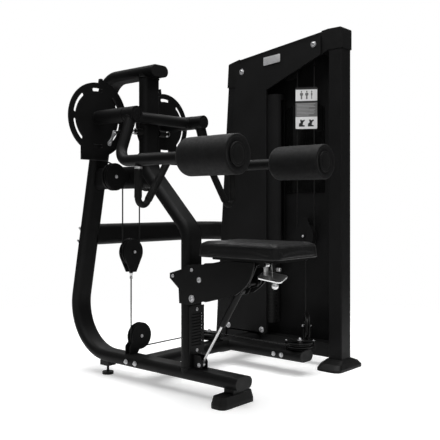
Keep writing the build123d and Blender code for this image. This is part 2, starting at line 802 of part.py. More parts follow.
def strut_cylinder():
    """Gas strut cylinder with its top eye."""
    _, _, length = strut_axis()
    barrel = rod(strut_point(202), strut_point(length - 12), 14)
    barrel -= rod(strut_point(201), strut_point(350), 5 + RUNNING)
    eye = rod((STRUT_TOP[0], -9, STRUT_TOP[1]), (STRUT_TOP[0], 9, STRUT_TOP[1]), 18)
    return barrel + eye - rod((STRUT_TOP[0], -20, STRUT_TOP[1]), (STRUT_TOP[0], 20, STRUT_TOP[1]), 10)


# ---------------------------------------------------------------- weight tower
def tower_frame():
    """Upright right post, leaning left post, sloping top beam and bottom beam."""
    y = TOWER_Y
    right = box(RIGHT_X, y, (FOOT_H, BEAM_RIGHT_Z))
    right = fillet(right.edges().filter_by(Axis.Z), 6)
    top = BEAM_LEFT_Z - 18
    outline = [
        (left_x(FOOT_H), FOOT_H),
        (left_x(FOOT_H) + POST_W, FOOT_H),
        (left_x(top) + POST_W, top),
        (left_x(top), top),
    ]
    left = plate_xz(outline, *y)
    left = fillet(left.edges().filter_by(lambda edge: edge.length > 1000), 6)
    beam = plate_xz(
        [
            (0, beam_z(0) - BEAM_H),
            (RIGHT_X[0] + 10, beam_z(RIGHT_X[0] + 10) - BEAM_H),
            (RIGHT_X[0] + 10, BEAM_RIGHT_Z),
            (RIGHT_X[0], BEAM_RIGHT_Z),
            (0, beam_z(0)),
        ],
        *y,
    )
    floor_beam = box((-85, RIGHT_X[0] + 1), (y[0] + 8, y[1] - 8), (FOOT_H + 3, 115))
    return right + left + beam + floor_beam


def panel_left(z):
    """Left edge of the front and rear panels at height z."""
    return left_x(z) + POST_W - 14


def front_panel():
    """Inverted-L sheet cover with folded edges."""
    y = (PANEL_Y, TOWER_Y[0])
    top_left, top_right = beam_z(10) - 24, beam_z(CORNER_X) - 24
    outline = [
        (panel_left(126), 126),
        (195, 126),
        (195, 1371),
        (CORNER_X - 1, 1505),
        (CORNER_X - 1, top_right),
        (panel_left(top_left), top_left),
    ]
    cover = plate_xz(outline, *y)
    flat = make_face(Polyline(*outline, close=True))
    inner = extrude(offset(flat, amount=-2.5, kind=Kind.INTERSECTION), 20)
    return cover - Pos(0, PANEL_Y + 22.5, 0) * (Rot(90, 0, 0) * inner), cover


def rear_panel():
    """Flat rear sheet between the posts."""
    outline = [
        (panel_left(72), 72),
        (RIGHT_X[0] + 12, 72),
        (RIGHT_X[0] + 12, 1612),
        (10, 1540),
        (panel_left(1525), 1525),
    ]
    return plate_xz(outline, TOWER_Y[1], TOWER_Y[1] + 4)


def rear_window():
    """Glossy arched panel in front of the rear sheet."""
    face = make_face(
        [
            Line((250, 0, 841), (484, 0, 841)),
            Line((484, 0, 841), (484, 0, 1262)),
            ThreePointArc((484, 0, 1262), (367, 0, 1300), (250, 0, 1262)),
            Line((250, 0, 1262), (250, 0, 841)),
        ]
    )
    return Pos(0, TOWER_Y[1] - 4, 0) * extrude(face, amount=3.8, dir=(0, 1, 0))


def stack_shroud():
    """Half-round cover beside the stack, slotted for the selector pin."""
    z0, z1 = 600, 1345
    ring = tube((SHROUD_X, TOWER_MID, z0), (SHROUD_X, TOWER_MID, z1), SHROUD_R, SHROUD_R - 2)
    ring -= box((SHROUD_X - 60, SHROUD_X), (700, 900), (z0 - 1, z1 + 1))
    for side in (-1, 1):
        y0, y1 = sorted((TOWER_MID + side * SHROUD_R, TOWER_MID + side * (SHROUD_R - 2)))
        ring += box((182, SHROUD_X), (y0, y1), (z0, z1))
    slot = box((SHROUD_X + 10, SHROUD_X + 60), (TOWER_MID - 14, TOWER_MID + 14), (z0 - 1, z1 - 30))
    return ring - slot


def guide_rods():
    """Two polished rods that guide the weight stack."""
    return Compound([rod((x, y, 115), (x, y, ROD_TOP_Z), ROD_R) for x, y in ROD_XY])


def weight_plate(index, thick=PLATE[2]):
    """One cast plate of the stack with its rod, stem and pin holes."""
    z = STACK_Z + index * PLATE_PITCH
    length, depth, _ = PLATE
    plate = Pos(STACK_X, TOWER_MID, z + thick / 2) * Box(length, depth, thick)
    plate = fillet(plate.edges().filter_by(Axis.Z), 20)
    for x, y in ROD_XY:
        plate -= rod((x, y, z - 1), (x, y, z + thick + 1), ROD_R + 0.6)
    plate -= rod((STACK_X, TOWER_MID, z - 1), (STACK_X, TOWER_MID, z + thick + 1), 12.6)
    middle = z + PLATE[2] / 2
    plate -= rod((STACK_X, TOWER_MID, middle), (STACK_X + length, TOWER_MID, middle), 5)
    return plate


def stack_head():
    """Head plate with the selector stem and the cable socket."""
    index = FIXED_PLATES + LIFTED_PLATES
    head = weight_plate(index, 38)
    z = STACK_Z + index * PLATE_PITCH
    head += rod((STACK_X, TOWER_MID, STACK_Z + 8), (STACK_X, TOWER_MID, z + 62), 12)
    for level in range(index):
        middle = STACK_Z + level * PLATE_PITCH + PLATE[2] / 2
        head -= rod((STACK_X - 20, TOWER_MID, middle), (STACK_X + 20, TOWER_MID, middle), 4.8)
    return head


def selector_pin():
    """Pin with a round knob, in the lowest lifted plate."""
    middle = STACK_Z + FIXED_PLATES * PLATE_PITCH + PLATE[2] / 2
    face_x = STACK_X + PLATE[0] / 2
    pin = rod((STACK_X - 8, TOWER_MID, middle), (face_x + 2, TOWER_MID, middle), 4.5)
    knob = rod((face_x + 1, TOWER_MID, middle), (face_x + 26, TOWER_MID, middle), 11)
    return pin + fillet(knob.edges().filter_by(GeomType.CIRCLE), 4)


def placard():
    """Blank instruction plate turned towards the user, on a stem from the rear sheet."""
    card = extrude(RectangleRounded(106, 205, 6), 3)
    plane = Plane(origin=(420, 775, 1258), x_dir=(cos(radians(30)), sin(radians(30)), 0))
    plane = Plane(origin=plane.origin, x_dir=plane.x_dir, z_dir=(sin(radians(30)), -cos(radians(30)), 0))
    stem = rod((424, 780, 1335), (424, TOWER_Y[1], 1335), 6)
    return plane * card + stem


# ---------------------------------------------------------------- fasteners
def frame_bolts():
    """Domed nuts and bolts on the frame, the panel and the pulleys."""
    items = []
    for x in (22, 80):
        items.append(bolt((x, -WIDE / 2, BASE_Z), (0, -1, 0), 8))
    for x in (414, 458):
        items.append(bolt((x, 560 - WIDE / 2, BASE_Z), (0, -1, 0), 8))
    for z in (610, 670):
        at = (lean_x(z) - DEEP / 2 / cos(atan2(LEAN, 1)) - 0.1, 0, z)
        items.append(bolt(at, (-1, 0, LEAN), 9))
    for x, z in ((34, 1480), (480, 1558), (-58, 140), (165, 140)):
        items.append(bolt((x, PANEL_Y, z), (0, -1, 0), 8, 7))
    for x, z in ((320, 489), (426, 519)):
        for side in (-1, 1):
            items.append(bolt((x, side * PLATE_Y[1], z), (0, side, 0), 7, 7))
    for at, size in ((LINK_FOOT, 10), (UPPER_FOOT, 8)):
        pin = cross_pin(at, 8, PLATE_Y[1])
        for side in (-1, 1):
            pin += bolt((at[0], side * PLATE_Y[1], at[1]), (0, side, 0), size, 9)
        items.append(pin)
    foot = cross_pin(STRUT_FOOT, 6, 17)
    for side in (-1, 1):
        foot += bolt((STRUT_FOOT[0], side * 17, STRUT_FOOT[1]), (0, side, 0), 7, 7)
    items.append(foot)
    for z in (186, 353):
        items.append(bolt((COLUMN_X + DEEP / 2 + 6, 0, z), (1, 0, 0), 5, 6))
    return items


def gauge_strip():
    """Slotted cover plate screwed to the front of the column."""
    front = COLUMN_X + DEEP / 2 + 3
    plate = box((front, front + 3), (-44, 44), (172, 368))
    for level in range(11):
        z = 206 + level * 12.5
        plate -= box((front - 1, front + 4), (-32, 32), (z, z + 6))
    return plate


# ---------------------------------------------------------------- assembly
rear, rear_outer = rear_c_frame()
post, post_outer = front_post(rear_outer)
base, base_outer = front_base(post_outer)
parts["rear_c_frame"] = rear
parts["front_post"] = post - base_outer
parts["front_base"] = base
parts["tower_frame"] = tower_frame()
parts["tower_link_bar"] = tower_link_bar(rear_outer) - parts["tower_frame"]
parts["base_link_frame"] = base_link_frame(base_outer, rear_outer) - parts["tower_frame"]
parts["pivot_housings"] = pivot_housings(post_outer)
parts["bearings"] = bearings()
panel, panel_outer = front_panel()
parts["front_panel"] = panel
parts["rear_panel"] = rear_panel()
parts["plastic_caps"] = plastic_caps(parts["tower_frame"] + panel_outer + parts["rear_panel"])
parts["floor_feet"] = floor_feet()
parts["rubber_buffers"] = rubber_buffers()
parts["column_gauge_strip"] = gauge_strip()

axles = []
for name, (centre, axis) in pulley_sites().items():
    parts[name] = pulley(centre, axis)
    axles.append(standing_axle(centre) if axis == (0, 0, 1) else axle(centre, axis))
parts["pulley_brackets"] = pulley_brackets(axles) - parts["tower_frame"]
parts["frame_bolts"] = Compound(frame_bolts() + axles) - base

parts["floating_pulley"] = pulley((0, 0, FLOAT_Z), (1, 0, 0))
parts["floating_pulley_bracket"] = floating_bracket((0, 0, FLOAT_Z), (1, 0, 0))
tower_float = (RISER_X, TOWER_MID, TOWER_FLOAT_Z)
parts["tower_floating_pulley"] = pulley(tower_float, (0, 1, 0))
parts["tower_floating_bracket"] = floating_bracket(tower_float, (0, 1, 0))

parts["fixed_cables"] = fixed_cables()
parts["cam_cable_run"] = cam_cable_run()
parts["lower_cable_run"] = rod((0, 0, CABLE_END_UP + 0.2), (0, 0, FLOAT_Z - 94.2), CABLE_R)
parts["riser_cable_run"] = rod(
    (RISER_X, TOWER_MID, CABLE_END_UP + 0.2), (RISER_X, TOWER_MID, TOWER_FLOAT_Z - 94.2), CABLE_R
)
parts["tower_cable_run"] = tower_cable_run()
stack_top = STACK_Z + (FIXED_PLATES + LIFTED_PLATES) * PLATE_PITCH + 62
parts["stack_cable_run"] = rod(
    (STACK_X, TOWER_MID, stack_top + 0.2), (STACK_X, TOWER_MID, TOP_PULLEY_Z - 6.2), CABLE_R
)

arm, arm_solid = near_arm()
near = {
    "arm": arm,
    "cam": near_cam(),
    "hand_grip": near_hand_grip(arm_solid),
    "roller": near_roller(),
    "roller_plug": near_roller_plug(),
}
for name, shape in near.items():
    parts["near_" + name] = shape
    parts["far_" + name] = mirrored(shape)

parts["seat_side_plates"] = seat_side_plates()
parts["seat_swing_arm"] = seat_swing_arm()
parts["seat_parallel_link"] = seat_parallel_link()
parts["seat_base"] = seat_base() + lever_hanger()
parts["seat_cushion"] = seat_cushion()
parts["release_lever"] = release_lever()
parts["strut_rod"] = strut_rod()
parts["strut_cylinder"] = strut_cylinder()

parts["rear_window"] = rear_window()
parts["stack_shroud"] = stack_shroud()
parts["guide_rods"] = guide_rods()
parts["fixed_weight_plates"] = Compound([weight_plate(i) for i in range(FIXED_PLATES)])
parts["lifted_weight_plates"] = Compound(
    [weight_plate(FIXED_PLATES + i) for i in range(LIFTED_PLATES)]
)
parts["stack_head"] = stack_head()
parts["selector_pin"] = selector_pin()
parts["placard"] = placard() - parts["tower_frame"]

low = Vector(1e9, 1e9, 1e9)
high = Vector(-1e9, -1e9, -1e9)
for shape in parts.values():
    bounds = shape.bounding_box()
    low = Vector(min(low.X, bounds.min.X), min(low.Y, bounds.min.Y), min(low.Z, bounds.min.Z))
    high = Vector(max(high.X, bounds.max.X), max(high.Y, bounds.max.Y), max(high.Z, bounds.max.Z))
shift = (-(low.X + high.X) / 2, -(low.Y + high.Y) / 2, -low.Z)
print("parts", len(parts), "box", low, high, "shift", shift)

os.makedirs("parts", exist_ok=True)
for name, shape in parts.items():
    export_step(Pos(*shift) * shape, "parts/" + name + ".step")
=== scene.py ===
"""Looks of a seated lateral-raise machine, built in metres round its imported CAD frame.

Layout points are given as place(x, y, z): x = 0 is the plane of the cam cables, y = 0 the
station's middle plane and z = 0 the floor, as in the CAD source.
"""

import json
import math

import bmesh
import bpy
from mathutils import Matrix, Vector, noise
from mathutils.bvhtree import BVHTree


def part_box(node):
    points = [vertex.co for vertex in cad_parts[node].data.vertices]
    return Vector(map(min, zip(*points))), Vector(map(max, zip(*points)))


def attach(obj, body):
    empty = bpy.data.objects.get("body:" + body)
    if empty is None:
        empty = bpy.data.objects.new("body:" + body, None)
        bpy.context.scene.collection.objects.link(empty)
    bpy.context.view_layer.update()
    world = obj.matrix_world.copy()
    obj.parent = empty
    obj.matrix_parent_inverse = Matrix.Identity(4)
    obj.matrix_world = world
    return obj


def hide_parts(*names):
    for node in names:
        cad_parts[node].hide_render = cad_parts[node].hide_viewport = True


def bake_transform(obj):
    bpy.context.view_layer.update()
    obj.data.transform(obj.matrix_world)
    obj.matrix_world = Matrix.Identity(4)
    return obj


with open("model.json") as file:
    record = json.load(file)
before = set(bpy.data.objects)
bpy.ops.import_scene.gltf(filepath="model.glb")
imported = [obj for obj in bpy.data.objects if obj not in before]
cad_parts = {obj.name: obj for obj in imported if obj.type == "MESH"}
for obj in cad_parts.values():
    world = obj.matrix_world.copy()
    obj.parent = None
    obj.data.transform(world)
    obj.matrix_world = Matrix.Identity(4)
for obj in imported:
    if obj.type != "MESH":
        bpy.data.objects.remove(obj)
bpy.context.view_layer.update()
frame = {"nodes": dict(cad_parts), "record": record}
NODES = frame["nodes"]


def middle(node):
    """Middle of a CAD node's box."""
    low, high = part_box(node)
    return (low + high) / 2


MID_Y = (middle("near_arm").y + middle("far_arm").y) / 2
ORIGIN = Vector((middle("floating_pulley").x, MID_Y, 0))


def place(x, y, z):
    """Row-frame point of a layout point."""
    return ORIGIN + Vector((x, y, z))


# Sizes shared by several pieces
ARM_RADIUS = 0.0225
HUB_RADIUS = 0.0295
GRIP_RADIUS = 0.013
CABLE_RADIUS = 0.003
CABLE_GAP = 0.0062
CABLE_END_DROP = 0.0942
FERRULE_DROP = 0.122
CAM_CABLE_RADIUS = 0.155
CAM_CABLE_START = -112
CAM_CABLE_SPAN = 72
AXLE_REACH = 0.017
AXLE_RADIUS = 0.008
GROOVE = 0.050
PIVOT = (0.200, 1.150)
ARM_LINE = (0.275, 0.953)
GRIP_X = 0.355
GUIDE = (0.100, 0.903)
FLOAT_Z = middle("floating_pulley").z
TOWER_FLOAT_Z = middle("tower_floating_pulley").z
TOP_PULLEY_Z = middle("top_pulley_front").z
BOTTOM_Z = middle("bottom_pulley").z
TOWER_MID = 0.799
RISER_X = middle("tower_floating_pulley").x - ORIGIN.x
STACK_X = middle("stack_head").x - ORIGIN.x
PANEL_Y = 0.745
SEAT_LOW, SEAT_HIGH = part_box("seat_cushion")
CROSS_PINS = ((0.426, 0.404, 0.008), (0.466, 0.482, 0.008), (0.429, 0.131, 0.006))
SIDES = ((-1, "near"), (1, "far"))
BASE_PULLEYS = ("base_pulley_rear", "base_pulley_front")
FIXED_PULLEYS = ("near_guide_pulley", "far_guide_pulley", "bottom_pulley")
FIXED_PULLEYS += ("top_pulley_front", "top_pulley_rear", "tower_lower_pulley")


def pulley_axis(name):
    """Direction of a pulley's axle; the tower's lower pulley stands askew."""
    if name == "tower_lower_pulley":
        low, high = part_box(name)
        return Vector((high.y - low.y, high.x - low.x, 0)).normalized()
    if name.startswith("base_"):
        return Vector((0, 0, 1))
    return Vector((0, 1, 0)) if name.startswith(("top_", "tower_")) else Vector((1, 0, 0))


# ---------------------------------------------------------------- camera, light, floor
def make_camera():
    """The photograph's view: level, from the user's side, off to the station's right."""
    data = bpy.data.cameras.new("camera")
    data.lens = 56.45
    data.sensor_width = 36
    data.shift_y = -0.034
    camera = bpy.data.objects.new("camera", data)
    bpy.context.scene.collection.objects.link(camera)
    camera.location = place(2.321, -2.0795, 0.780)
    camera.rotation_euler = (math.radians(90), 0, math.radians(40.8))
    bpy.context.scene.camera = camera


def area_light(name, location, target, size, power):
    """Square soft light aimed at a point."""
    data = bpy.data.lights.new(name, "AREA")
    data.shape = "SQUARE"
    data.size = size
    data.energy = power
    light = bpy.data.objects.new(name, data)
    bpy.context.scene.collection.objects.link(light)
    light.location = location
    light.rotation_euler = (Vector(target) - Vector(location)).to_track_quat("-Z", "Y").to_euler()


def make_lights():
    """Overhead soft box, a weak front fill and a side rim, under a dim surround."""
    centre = Vector((0, 0, 0.8))
    area_light("overhead", (0.2, -0.2, 4.2), centre, 5.0, 285)
    area_light("front_fill", (3.6, -2.2, 2.2), centre, 2.0, 17)
    area_light("rim", (-2.6, 2.4, 2.6), centre, 1.6, 20)
    world = bpy.data.worlds.new("studio")
    bpy.context.scene.world = world
    world.use_nodes = True
    tree = world.node_tree
    back = tree.nodes["Background"]
    back.inputs["Color"].default_value = (1, 1, 1, 1)
    seen = tree.nodes.new("ShaderNodeLightPath")
    level = tree.nodes.new("ShaderNodeMapRange")
    level.inputs["To Min"].default_value = 0.14
    level.inputs["To Max"].default_value = 1.0
    tree.links.new(seen.outputs["Is Camera Ray"], level.inputs["Value"])
    tree.links.new(level.outputs["Result"], back.inputs["Strength"])
    bpy.context.scene.view_settings.view_transform = "Standard"


def make_floor():
    """Pale floor, a little self-lit, that fades into the white surround."""
    data = bpy.data.meshes.new("floor")
    size = 9.0
    corners = [(-size, -size, 0), (size, -size, 0), (size, size, 0), (-size, size, 0)]
    data.from_pydata(corners, [], [(0, 1, 2, 3)])
    floor = bpy.data.objects.new("floor", data)
    bpy.context.scene.collection.objects.link(floor)
    material = bpy.data.materials.new("floor_white")
    material.use_nodes = True
    tree = material.node_tree
    tree.nodes.clear()
    out = tree.nodes.new("ShaderNodeOutputMaterial")
    mix = tree.nodes.new("ShaderNodeMixShader")
    clear = tree.nodes.new("ShaderNodeBsdfTransparent")
    white = tree.nodes.new("ShaderNodeBsdfDiffuse")
    white.inputs["Color"].default_value = (0.9, 0.9, 0.9, 1)
    glow = tree.nodes.new("ShaderNodeEmission")
    glow.inputs["Strength"].default_value = 0.36
    lit = tree.nodes.new("ShaderNodeAddShader")
    where = tree.nodes.new("ShaderNodeTexCoord")
    length = tree.nodes.new("ShaderNodeVectorMath")
    length.operation = "LENGTH"
    fade = tree.nodes.new("ShaderNodeMapRange")
    fade.inputs["From Min"].default_value = 1.3
    fade.inputs["From Max"].default_value = 2.6
    tree.links.new(where.outputs["Object"], length.inputs[0])
    tree.links.new(length.outputs["Value"], fade.inputs["Value"])
    tree.links.new(fade.outputs["Result"], mix.inputs["Fac"])
    tree.links.new(white.outputs["BSDF"], lit.inputs[0])
    tree.links.new(glow.outputs["Emission"], lit.inputs[1])
    tree.links.new(lit.outputs["Shader"], mix.inputs[1])
    tree.links.new(clear.outputs["BSDF"], mix.inputs[2])
    tree.links.new(mix.outputs["Shader"], out.inputs["Surface"])
    data.materials.append(material)


# ---------------------------------------------------------------- material tools
class Finish:
    """A Principled material that is being built from nodes in object space."""

    def __init__(self, name, color, roughness, metallic=0.0, specular=0.5):
        self.material = bpy.data.materials.new(name)
        self.material.use_nodes = True
        self.tree = self.material.node_tree
        self.shader = self.tree.nodes["Principled BSDF"]
        self.shader.inputs["Base Color"].default_value = (*color, 1)
        self.shader.inputs["Roughness"].default_value = roughness
        self.shader.inputs["Metallic"].default_value = metallic
        self.shader.inputs["Specular IOR Level"].default_value = specular
        self.material.diffuse_color = (*color, 1)
        self.space = self.node("ShaderNodeTexCoord").outputs["Object"]
        self.normal = None

    def node(self, kind, **values):
        """Adds a node and sets its named inputs or properties."""
        made = self.tree.nodes.new(kind)
        for key, value in values.items():
            if hasattr(made, key):
                setattr(made, key, value)
            else:
                made.inputs[key.replace("_", " ").title()].default_value = value
        return made

    def link(self, out, to):
        """Joins an output to an input."""
        self.tree.links.new(out, to)

    def noise(self, scale, detail=2.0, stretch=None):
        """Noise value, 0 to 1, at a scale per metre, stretched along an axis if asked."""
        made = self.node("ShaderNodeTexNoise", scale=scale, detail=detail)
        source = self.space
        if stretch is not None:
            squeeze = self.node("ShaderNodeVectorMath", operation="MULTIPLY")
            squeeze.inputs[1].default_value = stretch
            self.link(self.space, squeeze.inputs[0])
            source = squeeze.outputs["Vector"]
        self.link(source, made.inputs["Vector"])
        return made.outputs["Fac"]

    def cells(self, scale, feature="F1"):
        """Distance value of a cell pattern."""
        made = self.node("ShaderNodeTexVoronoi", scale=scale, feature=feature)
        self.link(self.space, made.inputs["Vector"])
        return made.outputs["Distance"]

    def rings(self, centre, axis, scale):
        """Fine turned rings about an axis."""
        offset = self.node("ShaderNodeVectorMath", operation="SUBTRACT")
        offset.inputs[1].default_value = centre
        across = self.node("ShaderNodeVectorMath", operation="CROSS_PRODUCT")
        across.inputs[1].default_value = Vector(axis).normalized()
        length = self.node("ShaderNodeVectorMath", operation="LENGTH")
        made = self.node("ShaderNodeTexNoise", noise_dimensions="1D", scale=scale, detail=1.0)
        self.link(self.space, offset.inputs[0])
        self.link(offset.outputs["Vector"], across.inputs[0])
        self.link(across.outputs["Vector"], length.inputs[0])
        self.link(length.outputs["Value"], made.inputs["W"])
        return made.outputs["Fac"]

    def span(self, value, low, high, start=0.0, end=1.0):
        """Maps a value from start..end to low..high."""
        made = self.node("ShaderNodeMapRange")
        for key, number in (("From Min", start), ("From Max", end), ("To Min", low), ("To Max", high)):
            made.inputs[key].default_value = number
        self.link(value, made.inputs["Value"])
        return made.outputs["Result"]

    def roughen(self, value, low, high):
        """Roughness follows a value."""
        self.link(self.span(value, low, high, 0.3, 0.7), self.shader.inputs["Roughness"])

    def tint(self, value, dark, light, start=0.3, end=0.7):
        """Base colour runs with a value from dark, or from the colour so far, to light."""
        mix = self.node("ShaderNodeMix", data_type="RGBA")
        base = self.shader.inputs["Base Color"]
        if dark is None:
            self.link(base.links[0].from_socket, mix.inputs[6])
        else:
            mix.inputs[6].default_value = (*dark, 1)
        mix.inputs[7].default_value = (*light, 1)
        self.link(self.span(value, 0.0, 1.0, start, end), mix.inputs[0])
        self.link(mix.outputs[2], base)

    def bump(self, value, strength, distance):
        """Adds relief, in metres, on top of what is there."""
        made = self.node("ShaderNodeBump", strength=strength, distance=distance)
        self.link(value, made.inputs["Height"])
        if self.normal is not None:
            self.link(self.normal, made.inputs["Normal"])
        self.normal = made.outputs["Normal"]
        self.link(self.normal, self.shader.inputs["Normal"])

    def edges(self, radius):
        """1 near a sharp edge, 0 on a flat."""
        soft = self.node("ShaderNodeBevel", samples=4, radius=radius)
        plain = self.node("ShaderNodeNewGeometry")
        dot = self.node("ShaderNodeVectorMath", operation="DOT_PRODUCT")
        self.link(soft.outputs["Normal"], dot.inputs[0])
        self.link(plain.outputs["Normal"], dot.inputs[1])
        return self.span(dot.outputs["Value"], 1.0, 0.0, 0.80, 0.99)

    def facing_up(self):
        """1 on upward faces, for dust."""
        plain = self.node("ShaderNodeNewGeometry")
        parts = self.node("ShaderNodeSeparateXYZ")
        self.link(plain.outputs["Normal"], parts.inputs["Vector"])
        return self.span(parts.outputs["Z"], 0.0, 1.0, 0.6, 1.0)

    def multiply(self, one, other):
        """Product of two values."""
        made = self.node("ShaderNodeMath", operation="MULTIPLY")
        self.link(one, made.inputs[0])
        self.link(other, made.inputs[1])
        return made.outputs["Value"]


# ---------------------------------------------------------------- finishes
def powder_coat(name, tone, rough, worn=0.028):
    """Satin black powder coat: orange peel, uneven gloss, thin dust, paler worn edges."""
    made = Finish(name, (tone, tone, tone * 1.04), rough, specular=0.12)
    patches = made.noise(7.0, 3.0)
    made.tint(patches, (tone * 0.86,) * 3, (tone * 1.18, tone * 1.18, tone * 1.22))
    dust = made.multiply(made.facing_up(), made.noise(38.0, 4.0))
    made.tint(dust, None, (tone * 1.7, tone * 1.7, tone * 1.65), 0.35, 1.0)
    made.tint(made.multiply(made.edges(0.0016), made.noise(60.0, 3.0)), None, (worn,) * 3, 0.30, 0.75)
    made.roughen(made.noise(11.0, 3.0), rough - 0.05, rough + 0.08)
    made.bump(made.noise(620.0, 2.0), 0.32, 0.00012)
    made.bump(made.noise(2100.0, 1.0), 0.20, 0.00004)
    return made.material


def roller_foam():
    """Dense skinned foam with fine open cells, and rims painted lighter as a highlight."""
    made = Finish("roller_foam", (0.006, 0.006, 0.0063), 0.62, specular=0.14)
    made.tint(made.noise(26.0, 3.0), (0.0050,) * 3, (0.0078, 0.0078, 0.0082))
    # Painted highlight: every rim is tinted lighter, standing in for light caught on the foam's edges.
    made.tint(made.edges(0.004), None, (0.016, 0.016, 0.0165), 0.2, 1.0)
    made.roughen(made.noise(90.0, 2.0), 0.55, 0.72)
    made.bump(made.cells(1500.0), 0.42, 0.00018)
    made.bump(made.noise(70.0, 3.0), 0.25, 0.0006)
    made.shader.inputs["Sheen Weight"].default_value = 0.02
    made.shader.inputs["Sheen Roughness"].default_value = 0.5
    return made.material


def vinyl():
    """Black upholstery vinyl with a pebbled leather grain and soft creases."""
    made = Finish("upholstery_vinyl", (0.005, 0.005, 0.0053), 0.46, specular=0.20)
    made.tint(made.noise(14.0, 4.0), (0.0042,) * 3, (0.0066, 0.0066, 0.0069))
    made.roughen(made.noise(45.0, 3.0), 0.42, 0.58)
    made.bump(made.noise(9.0, 4.0), 0.35, 0.0022)
    made.bump(made.cells(640.0, "SMOOTH_F1"), 0.55, 0.00035)
    made.bump(made.noise(2600.0, 2.0), 0.20, 0.00006)
    return made.material


def moulded_plastic(name, tone, rough):
    """Moulded polymer with a fine spark-eroded texture."""
    made = Finish(name, (tone, tone, tone), rough, specular=0.16)
    made.tint(made.noise(18.0, 3.0), (tone * 0.88,) * 3, (tone * 1.16,) * 3)
    dust = made.multiply(made.facing_up(), made.noise(55.0, 4.0))
    made.tint(dust, None, (tone * 1.8,) * 3, 0.35, 1.0)
    made.tint(made.multiply(made.edges(0.0016), made.noise(80.0, 2.0)), None, (0.022,) * 3, 0.3, 0.8)
    made.roughen(made.noise(30.0, 3.0), rough - 0.07, rough + 0.07)
    made.bump(made.noise(1500.0, 2.0), 0.38, 0.00010)
    return made.material


def turned_plastic(name, centre, axis):
    """Pulley nylon with faint turning marks round its axle, and rims painted lighter as a highlight."""
    made = Finish(name, (0.0048, 0.0048, 0.0050), 0.40, specular=0.18)
    rings = made.rings(centre, axis, 900.0)
    made.tint(made.noise(40.0, 3.0), (0.0040,) * 3, (0.0064,) * 3)
    # Painted highlight: every rim is tinted lighter, standing in for light caught on the pulley's edges.
    made.tint(made.edges(0.0012), None, (0.018,) * 3, 0.2, 1.0)
    made.roughen(rings, 0.30, 0.52)
    made.bump(rings, 0.30, 0.00010)
    made.bump(made.noise(1300.0, 2.0), 0.16, 0.00006)
    return made.material


def rubber(name, rough=0.68):
    """Matte black rubber with bloom and fine pitting."""
    made = Finish(name, (0.0052, 0.0052, 0.0052), rough, specular=0.14)
    made.tint(made.noise(22.0, 4.0), (0.0045,) * 3, (0.0085, 0.0085, 0.0082))
    made.roughen(made.noise(35.0, 3.0), rough - 0.08, rough + 0.10)
    made.bump(made.cells(1100.0), 0.30, 0.00012)
    return made.material


def cable_jacket():
    """Smooth black nylon jacket over a wire lay that just shows through."""
    made = Finish("cable_jacket", (0.007, 0.007, 0.0075), 0.34, specular=0.30)
    made.tint(made.noise(60.0, 3.0), (0.0060,) * 3, (0.0095,) * 3)
    made.roughen(made.noise(160.0, 2.0), 0.26, 0.42)
    made.bump(made.noise(700.0, 1.0, (1.0, 1.0, 0.35)), 0.22, 0.00015)
    return made.material


def zinc_steel():
    """Zinc-plated fasteners with a faint grain and dull spots."""
    made = Finish("zinc_steel", (0.50, 0.50, 0.51), 0.38, metallic=0.80)
    made.tint(made.noise(130.0, 4.0), (0.42, 0.42, 0.43), (0.58, 0.58, 0.59))
    made.roughen(made.noise(420.0, 3.0), 0.30, 0.48)
    made.bump(made.noise(1700.0, 2.0), 0.18, 0.00005)
    return made.material


def polished_steel(name, tone=0.74, rough=0.30):
    """Bright drawn or plated steel with hairline marks."""
    made = Finish(name, (tone, tone, tone * 1.01), rough, metallic=0.85)
    made.tint(made.noise(50.0, 3.0), (tone * 0.88,) * 3, (tone * 1.06,) * 3)
    made.roughen(made.noise(900.0, 2.0, (1.0, 1.0, 0.04)), rough - 0.04, rough + 0.12)
    made.bump(made.noise(1500.0, 1.0, (1.0, 1.0, 0.05)), 0.10, 0.00004)
    return made.material


def brushed_aluminium():
    """Badge plate with a straight brushed grain."""
    made = Finish("brushed_aluminium", (0.78, 0.78, 0.79), 0.40, metallic=0.6)
    grain = made.noise(1500.0, 2.0, (0.03, 1.0, 1.0))
    made.tint(grain, (0.66, 0.66, 0.67), (0.84, 0.84, 0.85))
    made.roughen(grain, 0.26, 0.44)
    made.bump(grain, 0.22, 0.00005)
    return made.material


def cast_iron():
    """Painted cast plates with a sand-cast skin and paler machined edges."""
    made = Finish("plate_iron", (0.009, 0.009, 0.0095), 0.55, specular=0.18)
    made.tint(made.noise(30.0, 4.0), (0.0070,) * 3, (0.012,) * 3)
    made.tint(made.multiply(made.edges(0.0015), made.noise(90.0, 3.0)), None, (0.05,) * 3, 0.25, 0.7)
    made.roughen(made.noise(60.0, 3.0), 0.46, 0.66)
    made.bump(made.noise(420.0, 4.0), 0.45, 0.0003)
    return made.material


def window_gloss():
    """Deep gloss acrylic with a breath of dust and hairline scratches."""
    made = Finish("window_gloss", (0.004, 0.004, 0.0045), 0.07, specular=0.35)
    made.tint(made.noise(9.0, 5.0), (0.003,) * 3, (0.007,) * 3, 0.4, 0.8)
    made.roughen(made.noise(24.0, 4.0), 0.04, 0.16)
    made.bump(made.noise(1200.0, 1.0, (0.05, 1.0, 1.0)), 0.05, 0.00003)
    return made.material


def printed_card(name, tone):
    """Printed plastic card with a fine matte lacquer."""
    made = Finish(name, (tone, tone, tone), 0.45, specular=0.3)
    made.tint(made.noise(25.0, 3.0), (tone * 0.95,) * 3, (min(1.0, tone * 1.04),) * 3)
    made.roughen(made.noise(70.0, 2.0), 0.38, 0.52)
    made.bump(made.noise(1900.0, 2.0), 0.12, 0.00004)
    return made.material


